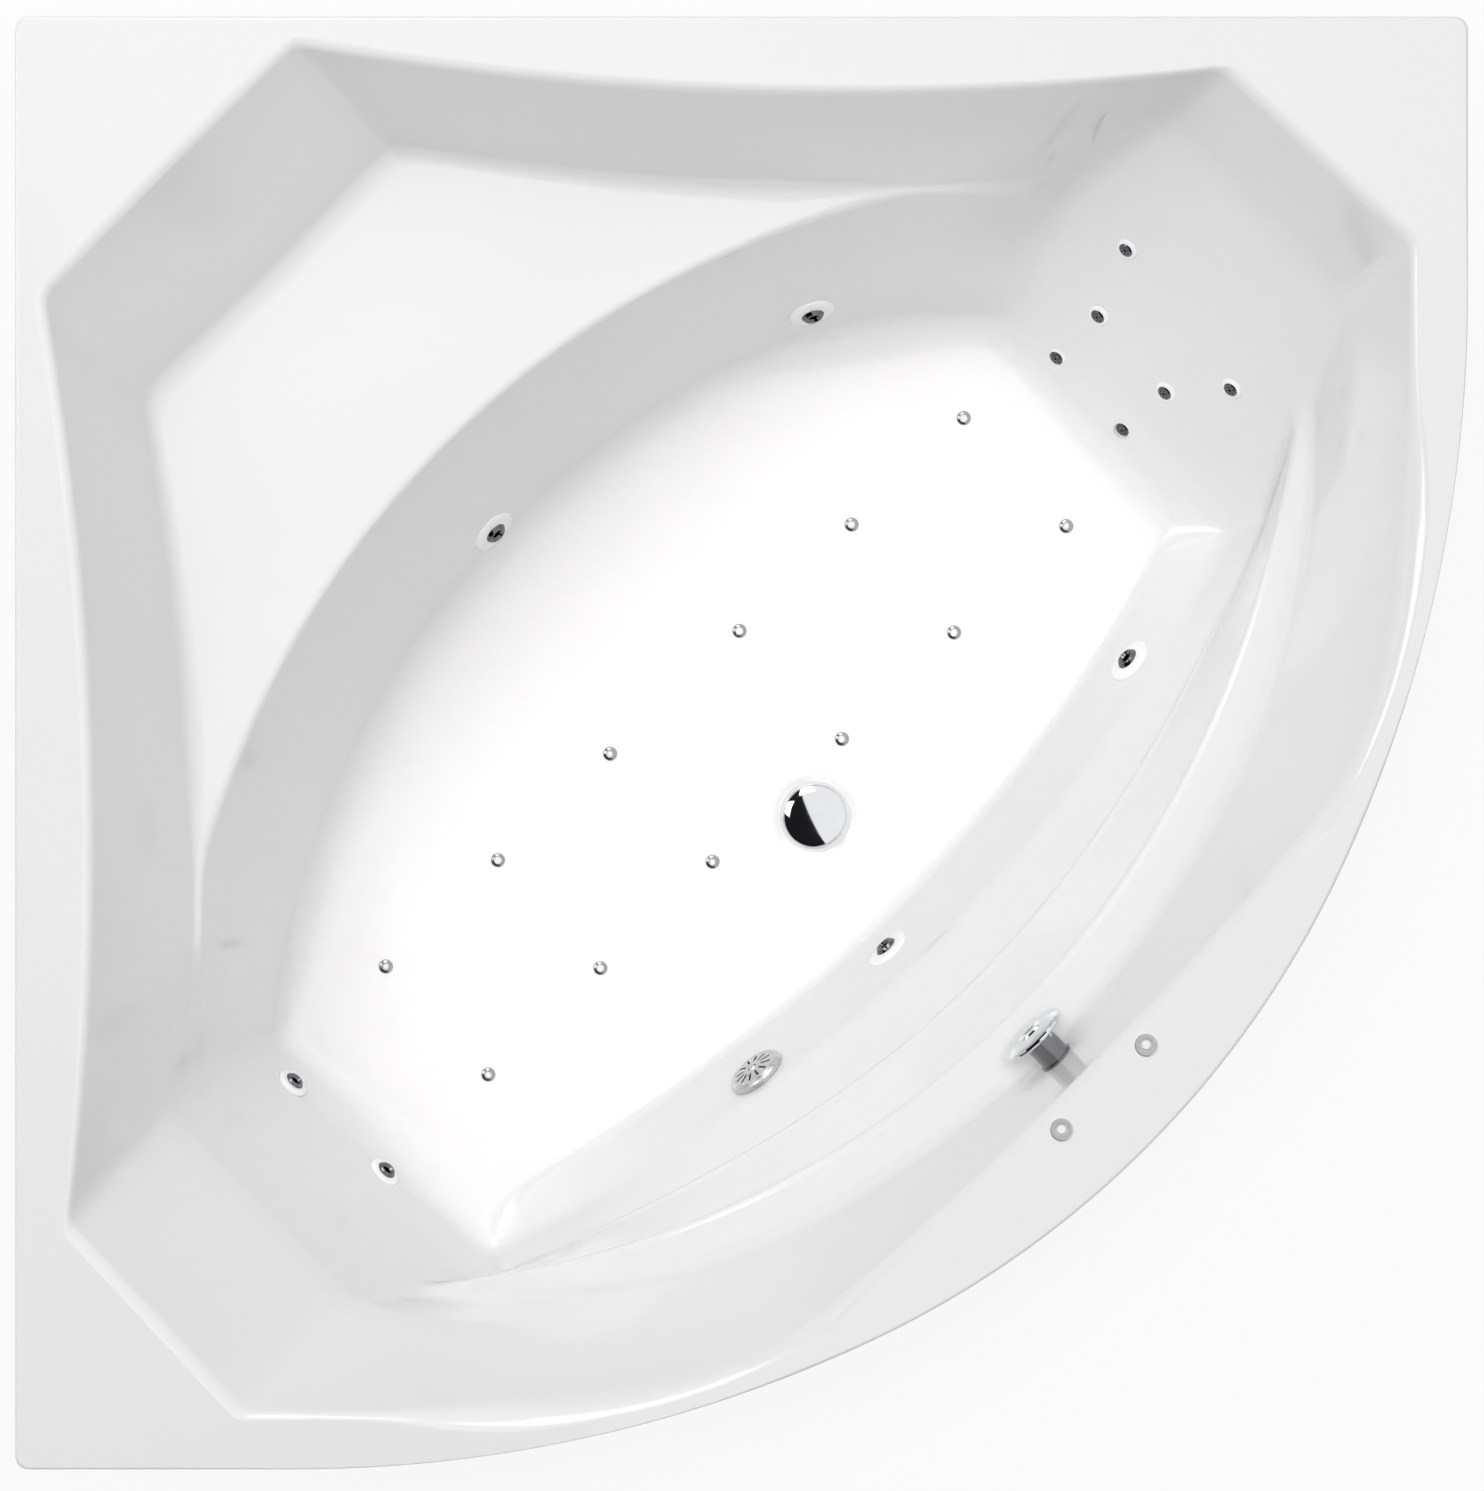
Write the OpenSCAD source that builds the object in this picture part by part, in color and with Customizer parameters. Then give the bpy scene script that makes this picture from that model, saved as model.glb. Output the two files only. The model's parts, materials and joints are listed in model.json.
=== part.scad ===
// Jetted corner bathtub with a corner seat, a reclining head end and a steeper foot end.
// The tub lies symmetrically about the diagonal that runs from the wall corner to the rounded front.
// u runs along that diagonal towards the front, v runs across it towards the head end, z is up.

/* [Tub] */
// Length of each straight side that stands against a wall
side = 1500; // [1400:5:1600]
// Height of the rim above the floor of the room
rim_h = 600; // [560:5:660]
// Depth of the basin below the rim
basin_d = 450; // [420:5:480]
// Thickness of the acrylic shell with its backing
shell_t = 5; // [4:0.5:6]
// Height of the turned-down edge of the rim
lip_h = 40; // [30:1:50]

/* [Outline of the rim] */
// Straight stretch of each free side before the front starts to bend
straight_l = 290; // [200:5:400]
// Radius of the shoulders of the front
shoulder_r = 1400; // [1250:10:1600]
// Angle that each shoulder turns
shoulder_a = 25; // [18:0.5:28]
// Radius of the three square corners
corner_r = 14; // [6:1:30]
// Radius of the rim's outer edge
edge_r = 4; // [2:0.5:6]

/* [Opening] */
// Rim width at the middle of the front
rim_front = 100; // [85:1:130]
// Distance from the side corners to the end lines, along v
end_gap = 212; // [190:1:240]
// Distance from the wall corner to the back of the seat, along u
seat_gap = 218; // [190:1:250]
// Half width of the back of the seat
seat_half = 182; // [150:1:210]
// Inward bow of the long side walls at the rim
side_bow = 36; // [0:1:50]
// Rounding of the opening's upper edge
lip_round = 10; // [6:1:14]

/* [Corner seat] */
// Depth of the seat below the rim
seat_d = 175; // [150:1:200]
// Run of the sloping back of the seat
seat_run = 158; // [120:1:180]
// Width of the seat along the diagonal
seat_w = 248; // [200:1:280]
// Radius of the seat's front edge
seat_r = 965; // [900:5:1100]
// Run of the basin wall below the seat
seat_wall_run = 120; // [100:1:140]

/* [Jets] */
// Flange radius of the four side jets
side_flange_r = 25; // [22:0.5:28]
// Radius of the swivel ball in the side jets
side_ball_r = 13.5; // [12:0.5:15]
// Flange radius of the two foot jets
foot_flange_r = 17.5; // [17:0.5:20]
// Radius of the swivel ball in the foot jets
foot_ball_r = 12; // [10:0.5:12.5]
// Thickness of a jet's flange
jet_face_t = 4; // [3:0.5:6]
// Length of the housing behind a jet
jet_body_l = 38; // [30:1:60]
// Length of the housing behind a foot jet
foot_body_l = 28; // [26:1:34]
// Radius of the hose tail of a jet
jet_tail_r = 8; // [6:0.5:9]

/* [Back massage jets] */
// Flange radius of the six small jets in the backrest
micro_r = 12; // [10:0.5:14]
// Radius of the bright insert of a small jet
micro_cap_r = 8; // [6:0.5:9]
// Length of the housing behind a small jet
micro_body_l = 32; // [26:1:40]
// Depth of the two water chambers behind the small jets
chamber_t = 24; // [20:1:30]

/* [Air nozzles in the floor] */
// Flange radius of an air nozzle
air_r = 7.5; // [6:0.5:10]
// Radius of the stem of an air nozzle
air_stem_r = 5; // [4:0.5:6]
// Distance between neighbouring nozzles in a row
air_pitch = 162; // [150:1:170]
// Distance across the middle of a row
air_mid = 187; // [170:1:200]
// Distance between the two rows
air_rows = 156; // [140:1:170]

/* [Suction] */
// Radius of the suction cover
suction_r = 31; // [28:0.5:40]
// Outer radius of the suction pipe
suction_pipe_r = 25; // [20:1:26]

/* [Drain] */
// Distance of the drain in front of the middle of the tub
drain_u = 109; // [90:1:130]
// Radius of the plug
plug_r = 34; // [30:0.5:36]
// Stroke of the plug
plug_lift = 10; // [8:0.5:12]

/* [Overflow] */
// Depth of the overflow below the rim
overflow_d = 105; // [90:1:120]
// Radius of the knob
knob_r = 37; // [30:0.5:40]
// Height of the knob's dome
knob_h = 10.5; // [8:0.5:14]
// Radius of the neck behind the knob
neck_r = 17; // [15:0.5:20]
// Distance from the wall to the back of the knob
neck_l = 34; // [20:1:40]

/* [Rim buttons] */
// Radius of a button's ring
button_r = 12; // [10:0.5:15]
// Radius of a button's cap
cap_r = 4.75; // [4:0.25:6]
// Stroke of a button
cap_stroke = 4; // [2:0.5:5]

/* [Floor board and frame] */
// Thickness of the board under the floor
board_t = 15; // [12:1:18]
// Radius of the holes in the board around the air nozzles
air_hole_r = 14; // [12:0.5:18]
// Width of the square steel tube
tube = 30; // [25:1:30]
// Wall of the square steel tube
tube_wall = 2; // [1.5:0.5:3]
// Thickness of the wooden blocks under the rim
block_t = 15; // [12:1:18]
// Thickness of the rim brackets
plate_t = 3; // [2:0.5:4]
// Width of the rim brackets
plate_w = 32; // [30:1:34]
// Length of the rim brackets
plate_l = 60; // [56:1:62]
// Distance of the bracket screws from the upright
screw_off = 23; // [20:0.5:25]
// Radius of the screws
screw_r = 2; // [1.5:0.25:2.5]

/* [Feet] */
// Radius of the threaded rods
rod_r = 6; // [5:0.5:8]
// Height of the top of the rods
rod_top = 145; // [142:1:148]
// Height of the nuts
nut_h = 9; // [8:0.5:10]
// Radius of the foot pads
pad_r = 25; // [20:1:30]
// Height of a pad under its rod
pad_h = 8; // [6:0.5:10]

/* [Drain and trap] */
// Radius of the plug's stem
stem_r = 4; // [3:0.5:5]
// Clearance of every turning or sliding fit
run_fit = 0.05; // [0.02:0.01:0.09]
// Height of the lower end of the drain body
body_z = 62; // [60:1:64]
// Height of the overflow pipe's lower end
over_z = 84; // [82:1:85]
// Radius of the tails for the overflow pipe
tail_r = 12; // [11:0.5:13]
// Radius of the trap
trap_r = 46; // [42:1:50]
// Radius of the waste pipe
waste_r = 20; // [16:0.5:20]
// Height of the waste pipe
waste_z = 29; // [28:0.5:30]
// Length of the waste pipe beyond the trap
waste_l = 100; // [60:5:140]

/* [Pump, blower and pipes] */
// Outer radius of the water and air mains
main_r = 16; // [14:0.5:18]
// Outer radius of the air pipes under the floor
row_r = 9; // [8:0.5:9]
// Radius of the pump's wet end
pump_r = 72; // [68:1:75]
// Radius of the pump's shaft
pump_shaft_r = 8; // [6:0.5:9]
// Position of the pump along the diagonal
pump_u = -590; // [-600:1:-580]
// Position of the pump across the diagonal
pump_v = -330; // [-340:1:-320]
// Height of the pump's axis
pump_z = 205; // [200:1:220]
// Position of the blower along the diagonal
blower_u = -585; // [-600:1:-575]
// Position of the blower across the diagonal
blower_v = 190; // [170:1:210]
// Height of the blower's outlet
blower_z = 156; // [150:1:165]

/* [Hidden] */
rt2 = sqrt(2);
half_diag = side / rt2;
// number of stations in each stretch of the half contour
n_seat = 4;
n_side = 14;
n_end = 7;
n_front = 18;

// Outline of the rim in u and v
shoulder_c = [side / 2 - shoulder_r, side / 2 - straight_l];
nose_shift = -(shoulder_c[0] + shoulder_c[1]) / (cos(shoulder_a) - sin(shoulder_a));
nose_r = shoulder_r - nose_shift;
nose_c = shoulder_c + nose_shift * [cos(shoulder_a), -sin(shoulder_a)];
nose_u = nose_c[0] * rt2 + nose_r;

seat_back_u = -half_diag + seat_gap;
seat_foot_u = seat_back_u + seat_run;
seat_edge_u = seat_foot_u + seat_w;
seat_c = seat_edge_u + seat_r;
fold_r = seat_r - seat_wall_run;
end_v = half_diag - end_gap;
front_u = nose_u - rim_front;

// Runs of the front wall from the rim's inner edge to each crease, and how deep each lies
foot_run = 41;
foot_z = -165;
ledge_run = 92;
ledge_z = -187;
pleat_run = 143;
pleat_z = -228;
belly_run = 200;
belly_z = -295;
floor_run = 254;
foot_r = 958;
ledge_r = 960;
pleat_r = 1050;
belly_r = 1450;
floor_r = 1450;

// Corner lines of the two ends, as u and run from the end line, one pair for each ring of the walls
head_back = [[-140, 4], [-147, 83], [-157, 170], [-159, 197], [-144, 258], [-118, 308], [-115, 348]];
head_side = [[126, -6], [121, 83], [172, 177], [165, 195], [222, 290], [205, 330], [156, 368]];
head_crease = 83;
head_crease_z = -144;
head_fold = 345;
foot_back = [[-140, 4], [-150, 150], [-157, 190], [-157, 212], [-146, 240], [-130, 262], [-120, 285]];
foot_side = [[126, -6], [118, 150], [160, 192], [160, 210], [205, 252], [196, 285], [160, 325]];
foot_crease = 150;
foot_crease_z = -160;
foot_fold = 282;

function uv_xy(p) = [(p[0] + p[1]) / rt2, (p[1] - p[0]) / rt2];
function place(p) = [(p[0] + p[1]) / rt2, (p[1] - p[0]) / rt2, rim_h + p[2]];
function mix(a, b, w) = a + (b - a) * w;
function sag(v, r) = r - sqrt(r * r - v * v);
function ease(w) = w * w * (3 - 2 * w);
function unit(a) = a / norm(a);

// Depth of an end's plane at a distance from its end line
function end_z(run, crease, crease_z, fold) =
    run <= crease ? crease_z * max(run, 0) / crease
                  : max(-basin_d, crease_z + (run - crease) / (fold - crease) * (-basin_d - crease_z));
// Corner lines as points u, v, z for one end, with v always positive
function corner_line(list, crease, crease_z, fold) =
    [for (i = [0:6])
        [list[i][0], end_v - list[i][1], i == 0 ? 0 : end_z(list[i][1], crease, crease_z, fold)]];
back_lines = [corner_line(head_back, head_crease, head_crease_z, head_fold),
              corner_line(foot_back, foot_crease, foot_crease_z, foot_fold)];
side_lines = [corner_line(head_side, head_crease, head_crease_z, head_fold),
              corner_line(foot_side, foot_crease, foot_crease_z, foot_fold)];

// Chord with a bow, used for the rim edge and the foot of the long side walls
function bowed(a, b, h, s) =
    mix(a, b, s) + 4 * h * s * (1 - s) * [b[1] - a[1], a[0] - b[0]] / norm(b - a);
function flat(p) = [p[0], p[1]];

// The seven rings at station s of the seat back stretch
seat_v = 165;
fold_v = 145;
function seat_station(s) =
    let (rim = [seat_back_u + 3 * s, seat_half * s, 0],
         foot = [seat_foot_u - 4 * s, (seat_half + 3) * s, -seat_d],
         edge = [seat_c - sqrt(seat_r * seat_r - pow(seat_v * s, 2)), seat_v * s, -seat_d - 3],
         fold = [seat_c - sqrt(fold_r * fold_r - pow(fold_v * s, 2)), fold_v * s, -basin_d])
    [rim, mix(rim, foot, 0.5), foot, edge, mix(edge, fold, 1 / 3), mix(edge, fold, 2 / 3), fold];

// The seven rings at station s of the long side wall stretch
tip_s = 0.8;
tip_gap = 8;
function side_station(s, e) =
    let (k = back_lines[e],
         a = seat_station(1),
         rim2 = bowed(flat(a[0]), flat(k[0]), side_bow, s),
         foot2 = bowed(flat(a[2]), flat(k[2]), 25, s),
         late = max(0, (s - tip_s) / (1 - tip_s)),
         foot_zz = mix(-seat_d, k[2][2], ease(late)),
         turn = -4 - 90 * s * s,
         dir = [cos(turn), sin(turn)],
         rel = foot2 - [seat_c, 0],
         b = rel * dir,
         c = rel * rel - seat_r * seat_r,
         reach = b * b - c > 0 ? -b - sqrt(b * b - c) : 0,
         gap_end = norm(flat(k[2]) - flat(k[3])),
         width = max(reach, mix(tip_gap, gap_end, late)),
         edge_end = foot2 + width * dir,
         edge2 = mix(edge_end, edge_end + (flat(k[3]) - foot_end(e)), pow(late, 2)),
         edge_zz = foot_zz - mix(3, k[2][2] - k[3][2], late),
         fold_vv = mix(fold_v, k[6][1], s),
         fold_base = seat_c - sqrt(fold_r * fold_r - fold_vv * fold_vv),
         fold_last = seat_c - sqrt(fold_r * fold_r - k[6][1] * k[6][1]),
         fold = [fold_base + (k[6][0] - fold_last) * pow(s, 4), fold_vv, -basin_d],
         rim = [rim2[0], rim2[1], 0],
         foot = [foot2[0], foot2[1], foot_zz],
         edge = [edge2[0], edge2[1], edge_zz],
         grow = pow(s, 5))
    [rim,
     mix(rim, foot, 0.5) + (k[1] - mix(k[0], k[2], 0.5)) * grow,
     foot,
     edge,
     mix(edge, fold, 1 / 3) + (k[4] - mix(k[3], k[6], 1 / 3)) * grow,
     mix(edge, fold, 2 / 3) + (k[5] - mix(k[3], k[6], 2 / 3)) * grow,
     fold];
function foot_end(e) =
    let (k = back_lines[e], gap_end = norm(flat(k[2]) - flat(k[3])))
    flat(k[2]) + gap_end * [cos(-94), sin(-94)];

// The seven rings at station s of the end stretch
function end_station(s, e) = [for (r = [0:6]) mix(back_lines[e][r], side_lines[e][r], s)];

// Rim edge along the front half: straight, a bend, then nearly straight to the middle
bend_l = 232;
bend_v = 344;
function front_rim(s, e) =
    let (k = side_lines[e][0],
         p1 = flat(k) + bend_l * [1, -1] / rt2,
         p3 = [front_u - 12, bend_v],
         p2 = [p3[0], p1[1] - (p3[0] - p1[0])],
         mid = [front_u, 0])
    s < 0.25 ? mix(flat(k), p1, s / 0.25)
    : s < 0.65 ? let (w = (s - 0.25) / 0.4)
        pow(1 - w, 2) * p1 + 2 * w * (1 - w) * p2 + w * w * p3
    : let (w = (s - 0.65) / 0.35) [mix(p3[0], mid[0], 1 - pow(1 - w, 2)), mix(p3[1], 0, w)];

// One crease of the front wall as a point for a share g of its way to the end
function front_line(g, power, k, run, r, z) =
    let (v = k[1] * pow(g, power),
         miss = k[0] - (front_u - run - sag(k[1], r)))
    [front_u - run - sag(v, r) + miss * pow(g, 4), v, mix(z, k[2], pow(g, 2))];

function front_station(s, e) =
    let (k = side_lines[e],
         rim2 = front_rim(s, e),
         g = rim2[1] / k[0][1],
         rim = [rim2[0], rim2[1], 0],
         foot = front_line(g, 0.85, k[2], foot_run, foot_r, foot_z),
         ledge = front_line(g, 0.85, k[3], ledge_run, ledge_r, ledge_z),
         pleat = front_line(g, 0.9, k[4], pleat_run, pleat_r, pleat_z),
         belly = front_line(g, 0.95, k[5], belly_run, belly_r, belly_z),
         fold = front_line(g, 1, k[6], floor_run, floor_r, -basin_d))
    [rim, mix(rim, foot, 0.5) + (k[1] - mix(k[0], k[2], 0.5)) * pow(g, 6), foot, ledge, pleat, belly, fold];

// All stations of one half, from the middle of the seat to the middle of the front
function half_stations(e) = concat(
    [for (i = [0:n_seat - 1]) seat_station(i / n_seat)],
    [for (i = [0:n_side - 1]) side_station(i / n_side, e)],
    [for (i = [0:n_end - 1]) end_station(i / n_end, e)],
    [for (i = [0:n_front]) front_station(i / n_front, e)]);
// Mirror of a station to the other side of the diagonal
function flip(list) = [for (p = list) [p[0], -p[1], p[2]]];
head = half_stations(0);
foot = half_stations(1);
n_half = len(head);
basin = concat(head, [for (i = [n_half - 2:-1:1]) flip(foot[i])]);
n_all = len(basin);

// Outline point that belongs to a station: the rim edge is followed by stretch and share
function outline_half(i) =
    i < n_seat + n_side ? let (w = i / (n_seat + n_side)) side_edge(w)
    : i < n_seat + n_side + n_end ? let (w = (i - n_seat - n_side) / n_end) corner_edge(w)
    : let (w = (i - n_seat - n_side - n_end) / n_front) front_edge(w);

// Round the wall corner, then along the straight wall side to a little before the side corner
function side_edge(w) =
    let (w1 = 1 / (n_seat + n_side),
         c = [-half_diag + corner_r * rt2, 0],
         t = 180 - 45 * min(1, w / w1),
         arc = c + corner_r * [cos(t), sin(t)],
         line = mix([-half_diag, 0], side_corner_a, max(w, 2 * w1)))
    mix(arc, line, min(1, max(0, w / w1 - 1)));
corner_off = 0.6 * straight_l / rt2;
side_corner_a = [-corner_off, half_diag - corner_off];
side_corner_b = [corner_off, half_diag - corner_off];
// Round the side corner
function corner_edge(w) =
    let (r = corner_r, c = [0, half_diag - r * rt2], n1 = [-1, 1] / rt2, n2 = [1, 1] / rt2,
         a = c + r * n1, b = c + r * n2)
    w < 0.42 ? mix(side_corner_a, a, w / 0.42)
    : w < 0.58 ? let (t = 135 - 90 * (w - 0.42) / 0.16) c + r * [cos(t), sin(t)]
    : mix(b, side_corner_b, (w - 0.58) / 0.42);
// Free side and the three arcs of the front, towards the middle of the front
function front_edge(w) =
    let (s_c = [(shoulder_c[0] - shoulder_c[1]) / rt2, (shoulder_c[0] + shoulder_c[1]) / rt2],
         start = s_c + shoulder_r * [1, 1] / rt2,
         joint = 45 - shoulder_a)
    w < 0.2 ? mix(side_corner_b, start, w / 0.2)
    : w < 0.65 ? let (t = 45 - shoulder_a * (w - 0.2) / 0.45) s_c + shoulder_r * [cos(t), sin(t)]
    : let (t = joint * (1 - (w - 0.65) / 0.35)) [nose_c[0] * rt2, 0] + nose_r * [cos(t), sin(t)];
outline = concat([for (i = [0:n_half - 1]) outline_half(i)],
                 [for (i = [n_half - 2:-1:1]) [outline_half(i)[0], -outline_half(i)[1]]]);

// Dish around the drain
dish_r = 46;
dish_z = 3;

// Rounding length at each control point: outer top edge, the seven rings, in each stretch
function bend_len(i) =
    let (j = i < n_half ? i : n_all - i,
         e = j < n_seat + n_side ? 0 : j <= n_seat + n_side + n_end ? 1 : 2,
         w = e == 2 ? (j - n_seat - n_side - n_end) / n_front : 0,
         soft = e == 2 ? 22 * pow(sin(180 * min(1, max(0, (w - 0.1) / 0.6))), 2) : 0)
    e == 0 ? [edge_r, lip_round, 40, 18, 8, 30, 30, 80]
    : e == 1 ? [edge_r, lip_round, 25, 20, 20, 20, 20, 24]
    : [edge_r, lip_round + soft, 30, 16, 7, 7, 16, 12];

// A station's profile from the bottom of the turned-down edge to the drain, rounded
rows_at = [2, 3, 1, 3, 3, 2, 2, 3];
function round_at(a, p, b, c, n) =
    let (la = norm(a - p), lb = norm(b - p), cc = min(c, 0.45 * la, 0.45 * lb),
         p0 = p + (a - p) / la * cc, p1 = p + (b - p) / lb * cc)
    n == 1 ? [0.25 * p0 + 0.5 * p + 0.25 * p1]
    : [for (k = [0:n - 1]) let (w = k / (n - 1)) pow(1 - w, 2) * p0 + 2 * w * (1 - w) * p + w * w * p1];
function profile(i) =
    let (o = outline[i], s = basin[i], d = [drain_u, 0],
         low = [o[0], o[1], -lip_h], top = [o[0], o[1], 0],
         out = unit(flat(s[6]) - d),
         brim = [d[0] + dish_r * out[0], d[1] + dish_r * out[1], -basin_d],
         ctrl = concat([low, top], s, [brim]),
         c = bend_len(i))
    concat([low],
           [for (k = [1:8]) each round_at(ctrl[k - 1], ctrl[k], ctrl[k + 1], c[k - 1], rows_at[k - 1])],
           [brim, [d[0] + (dish_r - 8) * out[0], d[1] + (dish_r - 8) * out[1], -basin_d - dish_z]]);
skin = [for (i = [0:n_all - 1]) profile(i)];
n_rows = len(skin[0]);

// Outward normals of the skin, and the back of the shell at its thickness
function normal_at(i, k) =
    let (a = skin[(i + 1) % n_all][k] - skin[(i + n_all - 1) % n_all][k],
         b = k == 0 ? skin[i][1] - skin[i][0]
             : k == n_rows - 1 ? skin[i][k] - skin[i][k - 1] : skin[i][k + 1] - skin[i][k - 1],
         n = cross(a, b))
    unit(n);
function lip_in(i, d, z) = let (q = skin[i][0] + d * normal_at(i, 0)) [q[0], q[1], z];
function back_at(i, k) =
    k == 1 ? lip_in(i, shell_t, -shell_t - 1.5)
    : k == 2 ? lip_in(i, shell_t + 1.5, -shell_t)
    : skin[i][k] + shell_t * (k >= n_rows - 2 ? [0, 0, -1] : normal_at(i, k));

module shell_blank() {
    front = [for (i = [0:n_all - 1], k = [0:n_rows - 1]) place(skin[i][k])];
    back = [for (i = [0:n_all - 1], k = [0:n_rows - 1]) place(back_at(i, k))];
    m = n_all * n_rows;
    middle = place([drain_u, 0, -basin_d - dish_z]);
    points = concat(front, back, [middle, middle - [0, 0, shell_t]]);
    function at(i, k) = (i % n_all) * n_rows + k;
    faces = concat(
        [for (i = [0:n_all - 1], k = [0:n_rows - 2]) each [
            [at(i, k), at(i + 1, k), at(i + 1, k + 1)], [at(i, k), at(i + 1, k + 1), at(i, k + 1)]]],
        [for (i = [0:n_all - 1], k = [0:n_rows - 2]) each [
            [m + at(i, k), m + at(i + 1, k + 1), m + at(i + 1, k)],
            [m + at(i, k), m + at(i, k + 1), m + at(i + 1, k + 1)]]],
        [for (i = [0:n_all - 1]) each [
            [at(i, 0), m + at(i, 0), m + at(i + 1, 0)], [at(i, 0), m + at(i + 1, 0), at(i + 1, 0)]]],
        [for (i = [0:n_all - 1]) each [
            [at(i, n_rows - 1), at(i + 1, n_rows - 1), 2 * m],
            [m + at(i + 1, n_rows - 1), m + at(i, n_rows - 1), 2 * m + 1]]]);
    polyhedron(points, faces);
}

// Surface point of the basin under u, v, searched in the stations from i0 to i1
function cell(i, k, t) =
    t == 0 ? [skin[i % n_all][k], skin[(i + 1) % n_all][k], skin[(i + 1) % n_all][k + 1]]
           : [skin[i % n_all][k], skin[(i + 1) % n_all][k + 1], skin[i % n_all][k + 1]];
function surf(u, v, i0, i1) =
    let (found = [for (i = [i0:i1], k = [2:n_rows - 3], t = [0, 1])
        let (q = cell(i, k, t), a = q[0], b = q[1] - a, c = q[2] - a,
             d = b[0] * c[1] - b[1] * c[0],
             wb = ((u - a[0]) * c[1] - (v - a[1]) * c[0]) / d,
             wc = (b[0] * (v - a[1]) - b[1] * (u - a[0])) / d)
        if (wb >= 0 && wc >= 0 && wb + wc <= 1) a + wb * b + wc * c])
    found[0];
// Cells of the rear walls, the end and the front wall, for the head half and the foot half
k_end = n_seat + n_side;
spans = [[0, k_end - 1], [k_end - 1, k_end + n_end], [k_end + n_end - 1, n_half - 2],
         [n_half - 4, n_half + 2]];
function span_of(g, e) = e == 0 ? spans[g] : [n_all - 1 - spans[g][1], n_all - 1 - spans[g][0]];
// Fitting on a wall: surface point and the direction into the basin
function fit(u, v, g, w = 12) =
    let (s = span_of(g, g < 3 && v < 0 ? 1 : 0),
         p = surf(u, v, s[0], s[1]),
         pu = surf(u + w, v, s[0], s[1]) - surf(u - w, v, s[0], s[1]),
         pv = surf(u, v + w, s[0], s[1]) - surf(u, v - w, s[0], s[1]))
    [p + [0, 0, rim_h], unit(cross(pu, pv))];

side_jets = [fit(-340.5, -26.6, 0), fit(-266, 370, 0), fit(226.5, 348, 2), fit(261, -44, 2)];
foot_jets = [fit(-80.5, -584, 1), fit(53.5, -582, 1)];
recline = fit(0, 620, 1);
function on_recline(u, v) =
    let (p = recline[0], n = recline[1]) [[u, v, p[2] - (n[0] * (u - p[0]) + n[1] * (v - p[1])) / n[2]], n];
micro_at = [[-80, 648], [-52, 580], [-52, 520], [54, 573], [100, 623], [50, 516]];
micro_jets = [for (p = micro_at) on_recline(p[0], p[1])];
suction = fit(256.5, -232.5, 2);
overflow_u = 490 - 41 * overflow_d / 165 - 1;
overflow = fit(overflow_u, 0, 3);
air_turn = 1.5;
function air_at(i, side) =
    let (b = (i - 2.5) * air_pitch + (i < 3 ? -1 : 1) * (air_mid - air_pitch) / 2, a = side * air_rows / 2)
    [-9 + a * cos(air_turn) + b * sin(air_turn), -14 - a * sin(air_turn) + b * cos(air_turn)];
air_list = [for (side = [-1, 1], i = [0:5]) air_at(i, side)];
buttons = [[516, 75], [516, -48.5]];

// Frames: u, v, z of the tub, and a frame whose z runs along a direction
module uv() {
    rotate([0, 0, -45]) children();
}
function turned(o, d) =
    let (z = unit(d),
         x = unit(abs(z[2]) < 0.95 ? cross([0, 0, 1], z) : cross([0, 1, 0], z)),
         y = cross(z, x))
    [[x[0], y[0], z[0], o[0]], [x[1], y[1], z[1], o[1]], [x[2], y[2], z[2], o[2]], [0, 0, 0, 1]];
module on(f) {
    multmatrix(turned(f[0], f[1])) children();
}

// Seats and bores that the fittings need in the shell
fit_gap = 0.3;
seat_in = 0.05;
seat_out = 0.9;
back_z = seat_out - shell_t;
side_sleeve_r = side_ball_r + 3.5;
foot_sleeve_r = foot_ball_r + 3;
micro_stem_r = micro_cap_r + 0.6;
suction_sleeve_r = 22;
module seat_cut(bore_r, front_r, rear_r) {
    translate([0, 0, -shell_t - 20]) cylinder(r = bore_r, h = shell_t + 40, $fn = 48);
    translate([0, 0, -seat_in]) cylinder(r = front_r + fit_gap, h = 9, $fn = 48);
    translate([0, 0, back_z - 12]) cylinder(r = rear_r + 1, h = 12, $fn = 48);
}

module shell() {
    color("white") difference() {
        shell_blank();
        uv() {
            for (f = side_jets) on(f) seat_cut(side_sleeve_r + fit_gap, side_flange_r, side_sleeve_r + 7);
            for (f = foot_jets) on(f) seat_cut(foot_sleeve_r + fit_gap, foot_flange_r, foot_sleeve_r + 7);
            for (f = micro_jets) on(f) seat_cut(micro_stem_r + fit_gap, micro_r, micro_stem_r + 4);
            on(suction) seat_cut(suction_sleeve_r + fit_gap, 26, 30);
            on(overflow) seat_cut(neck_r + fit_gap, neck_r + 2, 30);
            for (p = air_list)
                translate([p[0], p[1], rim_h - basin_d - 20])
                    cylinder(r = air_stem_r + fit_gap, h = 40, $fn = 48);
            for (p = buttons)
                translate([p[0], p[1], rim_h - 20]) cylinder(r = 9 + fit_gap, h = 40, $fn = 48);
            translate([drain_u, 0, rim_h - basin_d - 20]) cylinder(r = 24.5, h = 40, $fn = 48);
        }
    }
}

// A point given in the frame of a fitting, and moved to the frame of the tub
function loc(f, q) =
    let (m = turned(f[0], f[1]))
    [for (r = [0:2]) m[r][0] * q[0] + m[r][1] * q[1] + m[r][2] * q[2] + m[r][3]];

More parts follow.
